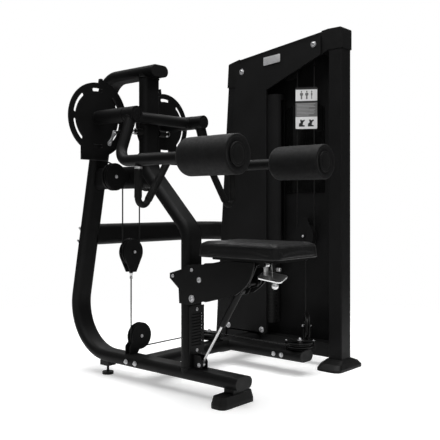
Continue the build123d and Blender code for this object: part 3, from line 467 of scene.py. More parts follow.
FINISHES = {
    "frame_paint": powder_coat("frame_powder_coat", 0.0042, 0.50),
    "tower_paint": powder_coat("tower_powder_coat", 0.0060, 0.50),
    "panel_paint": powder_coat("panel_powder_coat", 0.0066, 0.56),
    "arm_paint": powder_coat("arm_powder_coat", 0.0046, 0.44),
    "grip_rubber": rubber("grip_rubber"),
    "roller_foam": roller_foam(),
    "cap_plastic": moulded_plastic("cap_plastic", 0.0060, 0.46),
    "foot_plastic": moulded_plastic("foot_plastic", 0.0056, 0.50),
    "buffer_rubber": rubber("buffer_rubber", 0.6),
    "cable_jacket": cable_jacket(),
    "bolt_steel": zinc_steel(),
    "polished_steel": polished_steel("polished_steel"),
    "strut_paint": powder_coat("strut_gloss_paint", 0.0052, 0.32),
    "plate_iron": cast_iron(),
    "window_gloss": window_gloss(),
    "placard_face": printed_card("placard_white", 0.80),
    "upholstery": vinyl(),
}
# Finishes of drawn details, which share the card's slot or have none
DETAILS = {
    "print_dark": (printed_card("print_dark", 0.022), "placard_face"),
    "print_grey": (printed_card("print_grey", 0.16), "placard_face"),
    "print_pale": (printed_card("print_pale", 0.42), "placard_face"),
    "badge": (brushed_aluminium(), None),
}


def dress_cad():
    """Gives every CAD node the finish of its material slot."""
    slots = {row["node"]: row["material_slot"] for row in frame["record"]["subparts"]}
    for name, node in NODES.items():
        slot = slots[name]
        if slot == "pulley_plastic":
            finish = turned_plastic(name + "_nylon", middle(name), pulley_axis(name))
        else:
            finish = FINISHES[slot]
        node.data.materials.clear()
        node.data.materials.append(finish)


# ---------------------------------------------------------------- mesh tools
def finish_object(name, mesh, finish, body, sharp=38):
    """Links a mesh, shades it, gives it a finish and rides it on a body."""
    material, slot = DETAILS[finish] if finish in DETAILS else (FINISHES[finish], finish)
    made = bpy.data.objects.new(name, mesh)
    bpy.context.scene.collection.objects.link(made)
    mesh.polygons.foreach_set("use_smooth", [True] * len(mesh.polygons))
    mesh.set_sharp_from_angle(angle=math.radians(sharp))
    mesh.materials.clear()
    mesh.materials.append(material)
    if body is not None:
        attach(made, body)
    return made


def mesh_from(name, bm):
    """Writes a bmesh with outward faces to a new mesh."""
    bmesh.ops.recalc_face_normals(bm, faces=bm.faces)
    mesh = bpy.data.meshes.new(name)
    bm.to_mesh(mesh)
    bm.free()
    return mesh


def piece_from(name, bm, finish, body, sharp=38):
    """Turns a bmesh into a finished piece of the same name."""
    return finish_object(name, mesh_from(name, bm), finish, body, sharp)


def basis(axis):
    """Two unit vectors square to an axis."""
    axis = Vector(axis).normalized()
    helper = Vector((0, 0, 1)) if abs(axis.z) < 0.9 else Vector((1, 0, 0))
    u = axis.cross(helper).normalized()
    return u, axis.cross(u).normalized()


def lathe_into(bm, profile, centre, axis, segments=48, closed=False):
    """Revolves (along, radius) points about an axis; zero radius closes an end."""
    axis = Vector(axis).normalized()
    u, v = basis(axis)
    rings = []
    for along, radius in profile:
        base = Vector(centre) + axis * along
        if radius < 1e-7:
            rings.append([bm.verts.new(base)])
            continue
        ring = []
        for step in range(segments):
            turn = 2 * math.pi * step / segments
            ring.append(bm.verts.new(base + (u * math.cos(turn) + v * math.sin(turn)) * radius))
        rings.append(ring)
    pairs = list(zip(rings, rings[1:]))
    if closed:
        pairs.append((rings[-1], rings[0]))
    for first, second in pairs:
        for step in range(segments):
            after = (step + 1) % segments
            if len(first) == 1 and len(second) > 1:
                bm.faces.new((first[0], second[step], second[after]))
            elif len(second) == 1 and len(first) > 1:
                bm.faces.new((first[step], first[after], second[0]))
            elif len(first) > 1:
                bm.faces.new((first[step], first[after], second[after], second[step]))


def lathe(name, profile, centre, axis, finish, body, segments=64, closed=False):
    """A turned piece."""
    bm = bmesh.new()
    lathe_into(bm, profile, centre, axis, segments, closed)
    return piece_from(name, bm, finish, body)


def arc_points(centre, radius, start, end, steps):
    """Points of an arc in the (along, radius) plane, angles in degrees."""
    made = []
    for step in range(steps + 1):
        turn = math.radians(start + (end - start) * step / steps)
        made.append((centre[0] + radius * math.cos(turn), centre[1] + radius * math.sin(turn)))
    return made


def rounded(outline, radius, steps=5):
    """Outline with its corners rounded; radius is one number or one for each corner."""
    made = []
    count = len(outline)
    for index, corner in enumerate(outline):
        here = Vector(corner)
        before = (Vector(outline[index - 1]) - here)
        after = (Vector(outline[(index + 1) % count]) - here)
        want = radius[index] if isinstance(radius, (list, tuple)) else radius
        half = before.angle(after) / 2
        reach = min(want / math.tan(half), before.length * 0.49, after.length * 0.49)
        if reach < 1e-6:
            made.append(here)
            continue
        start = here + before.normalized() * reach
        end = here + after.normalized() * reach
        for step in range(steps + 1):
            share = step / steps
            made.append(start.lerp(here, share).lerp(here.lerp(end, share), share))
    return made


def prism_into(bm, outline, origin, u, v, depth):
    """Extrudes a flat outline, given along u and v, by depth along u x v."""
    u, v = Vector(u), Vector(v)
    n = u.cross(v).normalized()
    bottom = [bm.verts.new(Vector(origin) + u * p[0] + v * p[1]) for p in outline]
    top = [bm.verts.new(vert.co + n * depth) for vert in bottom]
    bm.faces.new(bottom[::-1])
    bm.faces.new(top)
    for index in range(len(bottom)):
        after = (index + 1) % len(bottom)
        bm.faces.new((bottom[index], bottom[after], top[after], top[index]))


def prism(name, outline, origin, u, v, depth, finish, body, bevel=0.0):
    """A flat plate with softened rims."""
    bm = bmesh.new()
    prism_into(bm, outline, origin, u, v, depth)
    bmesh.ops.recalc_face_normals(bm, faces=bm.faces)
    if bevel:
        rims = [e for e in bm.edges if len(e.link_faces) == 2 and e.calc_face_angle() > math.radians(50)]
        bmesh.ops.bevel(bm, geom=rims, offset=bevel, segments=3, profile=0.5, affect="EDGES")
    return piece_from(name, bm, finish, body)


def tube_mesh(name, points, radius, cyclic=False, swell=None, sides=6, smooth=False):
    """Mesh of a round bar along points, whose radius may swell point by point."""
    data = bpy.data.curves.new(name, "CURVE")
    data.dimensions = "3D"
    data.bevel_depth = radius
    data.bevel_resolution = sides
    data.use_fill_caps = True
    spline = data.splines.new("NURBS" if smooth else "POLY")
    spline.points.add(len(points) - 1)
    for index, point in enumerate(points):
        spline.points[index].co = (*point, 1)
        if swell is not None:
            spline.points[index].radius = swell[index]
    spline.use_cyclic_u = cyclic
    if smooth:
        spline.order_u = 3
        spline.use_endpoint_u = not cyclic
        spline.resolution_u = 8
    holder = bpy.data.objects.new(name + "_line", data)
    bpy.context.scene.collection.objects.link(holder)
    graph = bpy.context.evaluated_depsgraph_get()
    mesh = bpy.data.meshes.new_from_object(holder.evaluated_get(graph))
    mesh.name = name
    bpy.data.objects.remove(holder)
    bpy.data.curves.remove(data)
    return mesh


def weld(name, points, body, radius=0.0030, cyclic=True):
    """A rippled weld bead along a path, painted with the frame."""
    step = 0.0022
    line = []
    loop = list(points) + ([points[0]] if cyclic else [])
    for start, end in zip(loop, loop[1:]):
        count = max(1, round((end - start).length / step))
        line += [start.lerp(end, index / count) for index in range(count)]
    if not cyclic:
        line.append(loop[-1])
    swell = [1 + 0.16 * math.sin(index * 2.1) + 0.08 * noise.noise(p * 130) for index, p in enumerate(line)]
    mesh = tube_mesh(name, line, radius, cyclic, swell, 3)
    return finish_object(name, mesh, "frame_paint", body, 80)


def ring_points(centre, axis, radius, count=40, reach=None):
    """Circle about an axis, each point pushed along the axis by reach(angle)."""
    u, v = basis(axis)
    axis = Vector(axis).normalized()
    made = []
    for step in range(count):
        turn = 2 * math.pi * step / count
        push = 0.0 if reach is None else reach(u, v, turn)
        made.append(Vector(centre) + (u * math.cos(turn) + v * math.sin(turn)) * radius + axis * push)
    return made


def saddle(centre, branch, trunk, radius, trunk_radius):
    """Where a round branch leaves a round trunk."""
    trunk = Vector(trunk).normalized()

    def reach(u, v, turn):
        off = (u * math.cos(turn) + v * math.sin(turn)) * radius
        side = off.length_squared - off.dot(trunk) ** 2
        return math.sqrt(max(0.0, trunk_radius**2 - side))

    return ring_points(centre, branch, radius, 44, reach)


def oval_ring(centre, wide_axis, deep_axis, wide, deep, count=10):
    """Outline of a flat oval tube's section."""
    wide_axis, deep_axis = Vector(wide_axis), Vector(deep_axis)
    made = []
    straight = (wide - deep) / 2
    for side in (1, -1):
        for step in range(count + 1):
            turn = math.radians((90 if side == 1 else 270) - 180 * step / count)
            along = side * straight + deep / 2 * math.cos(turn)
            spot = wide_axis * along + deep_axis * (deep / 2 * math.sin(turn))
            made.append(Vector(centre) + spot)
    return made


# ---------------------------------------------------------------- fasteners
def stack_rings(bm, rings, at, axis, segments=36):
    """Joins (along, radius, hexagonal) rings about an axis, with the last one closed."""
    axis = Vector(axis).normalized()
    u, v = basis(axis)
    made = []
    for along, radius, hexagonal in rings:
        ring = []
        for step in range(segments):
            turn = 2 * math.pi * step / segments
            reach = radius
            if hexagonal:
                reach = radius * math.cos(math.pi / 6) / math.cos(turn % (math.pi / 3) - math.pi / 6)
            spot = (u * math.cos(turn) + v * math.sin(turn)) * reach + axis * along
            ring.append(bm.verts.new(Vector(at) + spot))
        made.append(ring)
    for first, second in zip(made, made[1:]):
        for step in range(segments):
            after = (step + 1) % segments
            bm.faces.new((first[step], first[after], second[after], second[step]))
    bm.faces.new(made[-1])
    bm.faces.new(made[0][::-1])


def socket_screw(bm, at, axis, radius):
    """Washer and button-head screw with a hexagonal socket."""
    r = radius
    washer = [(0, r * 1.30, False), (0.0014, r * 1.35, False), (0.0020, r * 1.30, False)]
    head = [(0.0020, r, False), (0.0020 + r * 0.12, r, False), (0.0020 + r * 0.42, r * 0.78, False)]
    socket = [
        (0.0020 + r * 0.50, r * 0.52, False),
        (0.0020 + r * 0.46, r * 0.46, True),
        (0.0020 + r * 0.12, r * 0.44, True),
    ]
    stack_rings(bm, washer + head + socket, at, axis)


def domed_nut(bm, at, axis, radius):
    """Washer, hexagon and dome."""
    r = radius
    rings = [(0, r * 1.35, False), (0.0018, r * 1.38, False), (0.0022, r * 1.30, False)]
    rings += [(0.0022, r * 0.98, True), (r * 0.68, r, True), (r * 0.76, r * 0.86, False)]
    dome = arc_points((r * 0.76, 0), r * 0.80, 88, 8, 8)
    rings += [(along, reach, False) for along, reach in dome]
    stack_rings(bm, rings, at, axis)


def pin_profile(reach, radius):
    """A plain pin, the same length both ways."""
    return [(-reach, 0), (-reach, radius), (reach, radius), (reach, 0)]


def pin_reach(z):
    """Half length of a cross pin: short at the strut's foot, wide through the side plates."""
    return 0.017 if z < 0.2 else 0.058


def bolt_sites():
    """Socket screws and domed nuts on the frame as (point, direction, radius)."""
    screws = []
    nuts = []
    base_z = 0.090
    for x in (0.022, 0.080):
        nuts.append((place(x, -0.050, base_z), (0, -1, 0), 0.0080))
    for x in (0.414, 0.458):
        nuts.append((place(x, 0.510, base_z), (0, -1, 0), 0.0080))
    for z in (0.610, 0.670):
        lean = 0.201
        x = -0.3687 + lean * (z - 0.273) - 0.0228
        nuts.append((place(x, -0.036, z), (-0.894, -0.451, 0.180), 0.0080))
    for x, z in ((0.034, 1.480), (0.480, 1.558), (-0.058, 0.140), (0.165, 0.140)):
        screws.append((place(x, PANEL_Y, z), (0, -1, 0), 0.0112))
    for x, z in ((0.320, 0.489), (0.426, 0.519)):
        for side in (-1, 1):
            screws.append((place(x, side * 0.058, z), (0, side, 0), 0.0058))
    for (x, z, _), radius in zip(CROSS_PINS, (0.0110, 0.0084, 0.0064)):
        for side in (-1, 1):
            screws.append((place(x, side * pin_reach(z), z), (0, side, 0), radius))
    for z in (0.186, 0.353):
        screws.append((place(0.401, 0, z), (1, 0, 0), 0.0050))
    for name in FIXED_PULLEYS:
        for side in (-1, 1):
            axis = pulley_axis(name) * side
            nuts.append((middle(name) + axis * AXLE_REACH, axis, 0.0052))
    return screws, nuts


def make_bolts():
    """All visible fasteners of the fixed frame."""
    screws, nuts = bolt_sites()
    bm = bmesh.new()
    for at, axis, radius in screws:
        socket_screw(bm, at, axis, radius)
    for at, axis, radius in nuts:
        domed_nut(bm, at, axis, radius)
    for name in FIXED_PULLEYS:
        lathe_into(bm, pin_profile(AXLE_REACH, AXLE_RADIUS), middle(name), pulley_axis(name), 32)
    for x, z, radius in CROSS_PINS:
        lathe_into(bm, pin_profile(pin_reach(z), radius), place(x, 0, z), (0, 1, 0), 32)
    bolts = piece_from("bolts", bm, "bolt_steel", "frame")
    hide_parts("frame_bolts")


def make_block_nuts():
    """Axle nuts on the cheeks of the two floating brackets."""
    rows = (
        ("floating_block", "floating_pulley", "floating_pulley_bracket"),
        ("tower_block", "tower_floating_pulley", "tower_floating_bracket"),
    )
    for word, pulley, bracket in rows:
        low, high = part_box(bracket)
        axis = pulley_axis(pulley)
        reach = abs((high - low).dot(axis)) / 2 - 0.001
        bm = bmesh.new()
        for side in (-1, 1):
            domed_nut(bm, middle(pulley) + axis * side * reach, axis * side, 0.0048)
        name = word + "_nuts"
        piece_from(name, bm, "bolt_steel", word)


KEEPER_TURNS = (0.0, 35.0)


def make_base_pulley_guards():
    """Standing axles and keeper plates over the two flat pulleys."""
    bm = bmesh.new()
    for name, turn in zip(BASE_PULLEYS, KEEPER_TURNS):
        centre = middle(name)
        top = Vector((centre.x, centre.y, centre.z + 0.012))
        along = Vector((math.cos(math.radians(turn)), math.sin(math.radians(turn)), 0))
        across = Vector((-along.y, along.x, 0))
        outline = rounded([(-0.070, -0.020), (0.070, -0.020), (0.070, 0.020), (-0.070, 0.020)], 0.019)
        prism_into(bm, outline, top, along, across, 0.004)
        for side in (-1, 1):
            post = Vector((*(centre + along * side * 0.0655).xy, 0.115))
            bar = [(0, 0), (0, 0.0045), (top.z - 0.115, 0.0045), (top.z - 0.115, 0)]
            lathe_into(bm, bar, post, (0, 0, 1), 24)
    piece_from("base_pulley_keepers", bm, "frame_paint",
                  "frame")
    bm = bmesh.new()
    for name, turn in zip(BASE_PULLEYS, KEEPER_TURNS):
        centre = middle(name)
        along = Vector((math.cos(math.radians(turn)), math.sin(math.radians(turn)), 0))
        lift = Vector((0, 0, 0.016))
        domed_nut(bm, centre + lift, (0, 0, 1), 0.0090)
        for side in (-1, 1):
            socket_screw(bm, centre + lift + along * side * 0.0625, (0, 0, 1), 0.0042)
        pin = [(-0.019, 0), (-0.019, 0.008), (0.016, 0.008), (0.016, 0)]
        lathe_into(bm, pin, centre, (0, 0, 1), 32)
    piece_from("base_pulley_bolts", bm, "bolt_steel",
                  "frame")


# ---------------------------------------------------------------- cables
def straight(start, end, count):
    """Evenly spaced points from start to end."""
    start, end = Vector(start), Vector(end)
    return [start.lerp(end, index / count) for index in range(count + 1)]


def loop_down(high, half, low, across, count=16):
    """Points down one side, round a pulley's lower half and up the other side."""
    across = Vector(across)
    down = straight(high - across * half, Vector((*high.xy, low)) - across * half, 40)
    turn = []
    for index in range(1, count):
        angle = math.pi * index / count
        spot = across * (-half * math.cos(angle))
        turn.append(Vector((*high.xy, low - half * math.sin(angle))) + spot)
    up = straight(Vector((*high.xy, low)) + across * half, high + across * half, 40)
    return down + turn + up


def cable_piece(name, points, node):
    """A cable stretch that lengthens between the frame and a moving body."""
    mesh = tube_mesh(name, points, CABLE_RADIUS, sides=5)
    made = finish_object(name, mesh, "cable_jacket", None)
    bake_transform(made)
    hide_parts(node)


def make_cables():
    """The five stretches that change length, and the cable that the cams take up."""
    top = place(0, 0, GUIDE[1] - CABLE_GAP)
    points = loop_down(top, GROOVE, FLOAT_Z, (0, 1, 0))
    cable_piece("cam_cable", points, "cam_cable_run")
    low = place(0, 0, BOTTOM_Z + CABLE_GAP)
    high = place(0, 0, FLOAT_Z - CABLE_END_DROP)
    cable_piece("lower_cable", straight(low, high, 40), "lower_cable_run")
    low = place(RISER_X, TOWER_MID, BOTTOM_Z + CABLE_GAP)
    high = place(RISER_X, TOWER_MID, TOWER_FLOAT_Z - CABLE_END_DROP)
    cable_piece("riser_cable", straight(low, high, 40), "riser_cable_run")
    top = place(RISER_X, TOWER_MID, TOP_PULLEY_Z - CABLE_GAP)
    points = loop_down(top, GROOVE, TOWER_FLOAT_Z, (1, 0, 0))
    cable_piece("tower_cable", points, "tower_cable_run")
    top = place(STACK_X, TOWER_MID, TOP_PULLEY_Z - CABLE_GAP)
    low = Vector((*top.xy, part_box("stack_cable_run")[0].z))
    cable_piece("stack_cable", straight(low, top, 60), "stack_cable_run")
    for side, word in SIDES:
        centre = place(0, side * PIVOT[0], PIVOT[1])
        points = []
        for step in range(41):
            turn = math.radians(CAM_CABLE_START + CAM_CABLE_SPAN * step / 40)
            points.append(centre + Vector((0, -side * math.cos(turn), math.sin(turn))) * CAM_CABLE_RADIUS)
        mesh = tube_mesh(word + "_cam_cable", points, CABLE_RADIUS, sides=5)
        finish_object(word + "_cam_cable", mesh, "cable_jacket", word + "_arm")


def ferrule(name, at, axis, body, length=0.026, radius=0.0062):
    """Swaged steel sleeve at a cable's end."""
    r = radius
    profile = [(0, 0), (0, r * 0.7), (0.001, r), (length * 0.34, r), (length * 0.38, r * 0.86)]
    profile += [(length * 0.62, r * 0.86), (length * 0.66, r), (length - 0.003, r)]
    profile += [(length, r * 0.62), (length, 0)]
    lathe(name, profile, at, axis, "polished_steel", body, 32)


def make_ferrules():
    """Cable ends at the blocks, the stack, the anchor and the cams."""
    up = (0, 0, 1)
    ferrule("floating_block_ferrule", place(0, 0, FLOAT_Z - FERRULE_DROP), up, "floating_block", 0.030)
    at = place(RISER_X, TOWER_MID, TOWER_FLOAT_Z - FERRULE_DROP)
    ferrule("tower_block_ferrule", at, up, "tower_block", 0.030)
    at = Vector((*middle("stack_head").xy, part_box("stack_head")[1].z))
    ferrule("stack_ferrule", at, up, "stack", 0.034)
    for side, word in SIDES:
        turn = math.radians(CAM_CABLE_START)
        centre = place(0, side * PIVOT[0], PIVOT[1])
        at = centre + Vector((0, -side * math.cos(turn), math.sin(turn))) * CAM_CABLE_RADIUS
        along = Vector((0, -side * math.sin(turn), -math.cos(turn)))
        ferrule(word + "_cam_ferrule", at - along * 0.004, along, word + "_arm", 0.022, 0.0055)


# ---------------------------------------------------------------- pulley trim
def make_pulley_bearings():
    """Sealed bearing faces in both sides of every pulley."""
    groups = frame["record"]["behaviour"]["bodies"]
    bodies = {name: body for body, names in groups.items() for name in names}
    for name in ("floating_pulley", "tower_floating_pulley", *BASE_PULLEYS, *FIXED_PULLEYS):
        axis = pulley_axis(name)
        bm = bmesh.new()
        for side in (-1, 1):
            rim = [(0.0098, 0.0085), (0.0104, 0.0090), (0.0104, 0.0125), (0.0098, 0.0130)]
            rim += [(0.0098, 0.0165), (0.0105, 0.0170), (0.0105, 0.0192)]
            rim += [(0.0096, 0.0196), (0.0080, 0.0120)]
            lathe_into(bm, [(side * a, r) for a, r in rim], middle(name), axis, 48, closed=True)
        finish_object(name + "_bearing", mesh_from(name, bm), "bolt_steel", bodies[name])


# ---------------------------------------------------------------- arms
def make_roller(side, word):
    """Foam roller: wide shoulder towards the arm, moulded rim and dished face at its free end."""
    low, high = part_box(word + "_roller")
    length = high.x - low.x
    big = (high.z - low.z) / 2
    bore = ARM_RADIUS + 0.0004
    profile = [(0.0030, bore), (0.0006, bore + 0.004), (0, big - 0.034)]
    profile += arc_points((0.030, big - 0.030), 0.030, 178, 90, 9)
    profile += [(0.030 + (length - 0.045) * step / 12, big) for step in range(1, 13)]
    profile += arc_points((length - 0.0055, big - 0.0055), 0.0055, 84, 6, 5)
    profile += [(length - 0.0006, big - 0.0090), (length - 0.0032, big - 0.0118)]
    profile += [(length - 0.0040, big - 0.0180), (length - 0.0066, big - 0.0250)]
    profile += [(length - 0.0068, bore)]
    centre = Vector((low.x, (low.y + high.y) / 2, (low.z + high.z) / 2))
    bm = bmesh.new()
    lathe_into(bm, profile, centre, (1, 0, 0), 96, closed=True)
    for vert in bm.verts:
        off = Vector((0, vert.co.y - centre.y, vert.co.z - centre.z))
        if off.length > bore + 0.006:
            dent = noise.noise(vert.co * 34) * 0.0005 + noise.noise(vert.co * 90) * 0.00018 - 0.0005
            vert.co += off.normalized() * dent
    name = word + "_foam_roller"
    roller = piece_from(name, bm, "roller_foam", word + "_roller", 60)
    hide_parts(word + "_roller")
    reach = big * 0.606
    plug = [(-0.0066, 0), (-0.0066, reach)]
    plug += arc_points((-0.0026, reach - 0.0036), 0.0036, 90, 12, 5)
    plug += [(0.0012, reach - 0.0085), (0.0003, reach - 0.0100), (0.0010, reach - 0.0115)]
    for step in range(1, 7):
        plug.append((0.0016 + 0.0013 * math.sin(step * math.pi / 12), (reach - 0.012) * (1 - step / 6)))
    end = Vector((high.x, centre.y, centre.z))
    disc = lathe(word + "_end_disc", plug, end, (1, 0, 0), "cap_plastic", word + "_roller", 96)
    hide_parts(word + "_roller_plug")


def make_grip_sleeves(side, word):
    """Ribbed rubber sleeves on both legs of the hand grip, with a bright collar above each."""
    arm_y = side * ARM_LINE[0]
    top = place(GRIP_X, arm_y + side * 0.005, ARM_LINE[1])
    foot = place(GRIP_X, arm_y + side * 0.009, 0.722)
    crown = place(GRIP_X, side * 0.104, 0.982)
    rows = (("outer", top, foot, 0.034, 0.146), ("inner", crown, foot, 0.045, 0.222))
    for part, start, end, first, last in rows:
        along = (end - start).normalized()
        profile = [(first, GRIP_RADIUS - 0.0008), (first, GRIP_RADIUS + 0.0012)]
        count = round((last - first) / 0.0050)
        for rib in range(count):
            base = first + 0.0015 + (last - first - 0.003) * rib / count
            profile += [(base, GRIP_RADIUS + 0.0020), (base + 0.0026, GRIP_RADIUS + 0.0022)]
            profile += [(base + 0.0030, GRIP_RADIUS + 0.0014), (base + 0.0042, GRIP_RADIUS + 0.0014)]
        profile += [(last, GRIP_RADIUS + 0.0012), (last, GRIP_RADIUS - 0.0008)]
        name = f"{word}_grip_sleeve_{part}"
        lathe(name, profile, start, along, "grip_rubber", word + "_arm", 48, closed=True)
        ring = [(first - 0.0085, GRIP_RADIUS - 0.0006), (first - 0.0085, GRIP_RADIUS + 0.0016)]
        ring += [(first - 0.0075, GRIP_RADIUS + 0.0026), (first - 0.0012, GRIP_RADIUS + 0.0026)]
        ring += [(first - 0.0002, GRIP_RADIUS + 0.0016), (first - 0.0002, GRIP_RADIUS - 0.0006)]
        name = f"{word}_grip_collar_{part}"
        lathe(name, ring, start, along, "polished_steel", word + "_arm", 48, closed=True)


def make_arm_trim(side, word):
    """Hub plug, weld beads, stop-pin sleeve and the tie link on the cam."""
    body = word + "_arm"
    pivot = place(0, side * PIVOT[0], PIVOT[1])
    face = Vector((0.259, 0, 0)) + pivot
    plug = [(-0.0026, 0), (-0.0026, 0.0190), (-0.0006, 0.0186), (0, 0.0172), (-0.0004, 0.0130), (0.0002, 0)]
    lathe(word + "_hub_plug", plug, face, (1, 0, 0), "cap_plastic", body, 48)
    arm_x = 0.230
    elbow = place(arm_x, side * ARM_LINE[0], ARM_LINE[1])
    hub = place(arm_x, side * PIVOT[0], PIVOT[1])
    leg = (elbow - hub).normalized()
    weld(word + "_hub_weld", saddle(hub, leg, (1, 0, 0), ARM_RADIUS, HUB_RADIUS), body)
    arm_line = place(GRIP_X, side * ARM_LINE[0], ARM_LINE[1])
    down = Vector((0, side * 0.0216, -1)).normalized()
    weld(word + "_grip_weld_outer", saddle(arm_line + Vector((0, side * 0.005, 0)), down, (1, 0, 0),
                                           GRIP_RADIUS, ARM_RADIUS), body, 0.0022)
    pin = place(0, side * 0.098, 1.095)
    sleeve = [(0.108, 0.0080), (0.108, 0.0110), (0.112, 0.0122)]
    sleeve += [(0.134, 0.0122), (0.137, 0.0110), (0.137, 0.0080)]
    lathe(word + "_stop_sleeve", sleeve, pin, (1, 0, 0), "polished_steel", body,
          48, closed=True)
    weld(word + "_boss_weld", ring_points(pivot + Vector((0.0135, 0, 0)), (1, 0, 0), 0.0262), body, 0.0026)
    outline = []
    for centre, start in (((0, 0), 110), ((0.052, 0), -70)):
        for step in range(9):
            turn = math.radians(start + 140 * step / 8)
            outline.append((centre[0] + 0.0125 * math.cos(turn), 0.0125 * math.sin(turn)))
    waist = [(0.034, 0.0062), (0.018, 0.0062)]
    outline = outline[:9] + [(x, -y) for x, y in waist[::-1]] + outline[9:] + waist
    foot = pivot + Vector((0.0132, -side * 0.063, -0.103))
    slope = Vector((0, -side * 0.5, 0.866))
    across = Vector((1, 0, 0)).cross(slope)
    prism(word + "_tie_link", outline, foot, slope, across, 0.005, "bolt_steel", body, 0.0008)
    bm = bmesh.new()
    for reach in (0, 0.052):
        socket_screw(bm, foot + slope * reach + Vector((0.005, 0, 0)), (1, 0, 0), 0.0052)
    piece_from(word + "_tie_screws", bm, "bolt_steel", body)


# ---------------------------------------------------------------- frame welds
def make_frame_welds():
    """Beads where the station's tubes meet."""
    for side, word in SIDES:
        centre = place(0.165, side * PIVOT[0], PIVOT[1])
        weld(word + "_housing_weld", saddle(centre, (0, -side, 0), (1, 0, 0), 0.024, 0.030), "frame")
    rows = (
        ("column_weld", (0.370, 0, 0.1155), (0, 1, 0), (1, 0, 0), 0.0030),
        ("top_bar_weld", (0.116, 0, 1.3325), (0, 1, 0), (1, 0, 0), 0.0030),
        ("brace_front_weld", (0.0945, 0, 0.903), (0, 0, 1), (0, 1, 0), 0.0026),
    )
    for name, spot, wide, deep, radius in rows:
        weld(name, oval_ring(place(*spot), wide, deep, 0.101, 0.051), "frame", radius)


# ---------------------------------------------------------------- tower trim
def make_badge():
    """Blank brushed plate on the sloping beam."""
    slope = Vector((0.104, 0, 0.0085)).normalized()
    origin = place(0.180, PANEL_Y - 0.0022, 1.4925)
    outline = rounded([(0, 0), (0.1045, 0), (0.1045, 0.040), (0, 0.042)], 0.005)
    prism("badge_plate", outline, origin, slope, (0, 0, 1), 0.0024, "badge", "frame", 0.0006)


def make_placard_print():
    """Exercise card on its stem: header bars, three figures, plain line blocks, two pictograms."""
    tilt = math.radians(30)
    u = Vector((math.cos(tilt), math.sin(tilt), 0))
    v = Vector((0, 0, 1))
    front = u.cross(v)
    centre = place(0.420, 0.775, 1.258) + front * 0.0030
    card_w, card_h = 0.106, 0.205
    half, tall = card_w / 2, card_h / 2
    corners = [(-half, -tall), (half, -tall), (half, tall), (-half, tall)]
    card = prism("placard_card", rounded(corners, 0.006), centre - front * 0.0030, u, v, 0.0030,
                 "placard_face", "frame")
    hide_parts("placard")
    stem = [(0, 0), (0, 0.006), (0.060, 0.006), (0.060, 0)]
    lathe("placard_stem", stem, place(0.424, 0.7805, 1.335), (0, 1, 0), "frame_paint", "frame", 24)

    def patch(name, outline, finish, lift):
        prism("placard_" + name, outline, centre + front * lift, u, v, 0.0003, finish, "frame")

    def bar(name, left, right, low, high, finish, lift):
        corners = [(left, low), (right, low), (right, high), (left, high)]
        patch(name, rounded(corners, 0.0008, 2), finish, lift)

    bar("header", -half, half, tall - 0.011, tall, "print_dark", 0)
    bar("band", -half, half, 0.026, 0.035, "print_dark", 0)
    bar("block", -half, half, -0.043, 0.026, "print_grey", 0)
    for row in range(9):
        short = 0.030 if row in (3, 8) else 0.006 * (row % 2)
        z = 0.019 - row * 0.0068
        bar(f"line_{row}", -half + 0.007, half - 0.010 - short, z, z + 0.0022, "print_pale", 0.0003)
    for index, x in enumerate((-0.024, 0.002, 0.026)):
        thin = 0.5 if index == 2 else 1.0
        body = [(-0.004, -0.016), (0.004, -0.016), (0.0036, 0.000), (0.0075, 0.004), (0.008, 0.012)]
        body += [(0.003, 0.016), (-0.003, 0.016), (-0.008, 0.012), (-0.0075, 0.004), (-0.0036, 0.000)]
        shape = rounded([(x + px * thin, 0.060 + py) for px, py in body], 0.0018, 3)
        patch(f"figure_{index}", shape, "print_grey", 0.0002)
        head = [(x + 0.0034 * math.cos(t * 0.52), 0.0812 + 0.0040 * math.sin(t * 0.52)) for t in range(12)]
        patch(f"head_{index}", head, "print_grey", 0.0002)
    for index, x in enumerate((-0.022, 0.022)):
        machine = [(-0.015, -0.018), (0.014, -0.018), (0.014, -0.012), (0.004, -0.010), (0.007, 0.004)]
        machine += [(0.015, 0.010), (0.013, 0.016), (0.001, 0.012), (-0.004, 0.018), (-0.009, 0.014)]
        machine += [(-0.006, 0.002), (-0.014, -0.004)]
        shape = rounded([(x + px, -0.073 + py) for px, py in machine], 0.0022, 3)
        patch(f"pictogram_{index}", shape, "print_dark", 0.0002)


def make_tower_trim():
    """Screws that hold the rear sheet."""
    bm = bmesh.new()
    rear_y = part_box("rear_panel")[1].y
    for x, z in ((-0.03, 0.30), (0.50, 0.30), (-0.01, 0.85), (0.52, 0.85), (0.03, 1.40), (0.52, 1.44)):
        socket_screw(bm, Vector((ORIGIN.x + x, rear_y, z)), (0, 1, 0), 0.0052)
    piece_from("rear_panel_screws", bm, "bolt_steel", "frame")


def make_lever_cable():
    """Thin release wire from the seat pan to the lever."""
    top, low = place(0.826, -0.060, 0.5735), place(0.829, -0.060, 0.5190)
    points = [top, place(0.828, -0.063, 0.5600), place(0.8295, -0.0615, 0.5400), low]
    mesh = tube_mesh("release_wire", points, 0.0011, sides=4, smooth=True)
    wire = finish_object("release_wire", mesh, "polished_steel", None)
    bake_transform(wire)


# ---------------------------------------------------------------- seat
REAR_HALF = 0.132


def seat_outline(inset, count=10):
    """Rounded plan of the pad, inset from its CAD box."""
    front = (SEAT_HIGH.y - SEAT_LOW.y) / 2 - inset
    rear = REAR_HALF - inset
    low, high = SEAT_LOW.x + inset, SEAT_HIGH.x - inset
    mid = (SEAT_LOW.y + SEAT_HIGH.y) / 2
    corners = [(low, mid - rear), (high, mid - front), (high, mid + front), (low, mid + rear)]
    return rounded(corners, 0.030 - inset, count)


def bake(obj, change):
    """Applies a modifier to the mesh."""
    graph = bpy.context.evaluated_depsgraph_get()
    mesh = bpy.data.meshes.new_from_object(obj.evaluated_get(graph))
    obj.modifiers.remove(change)
    obj.data = mesh


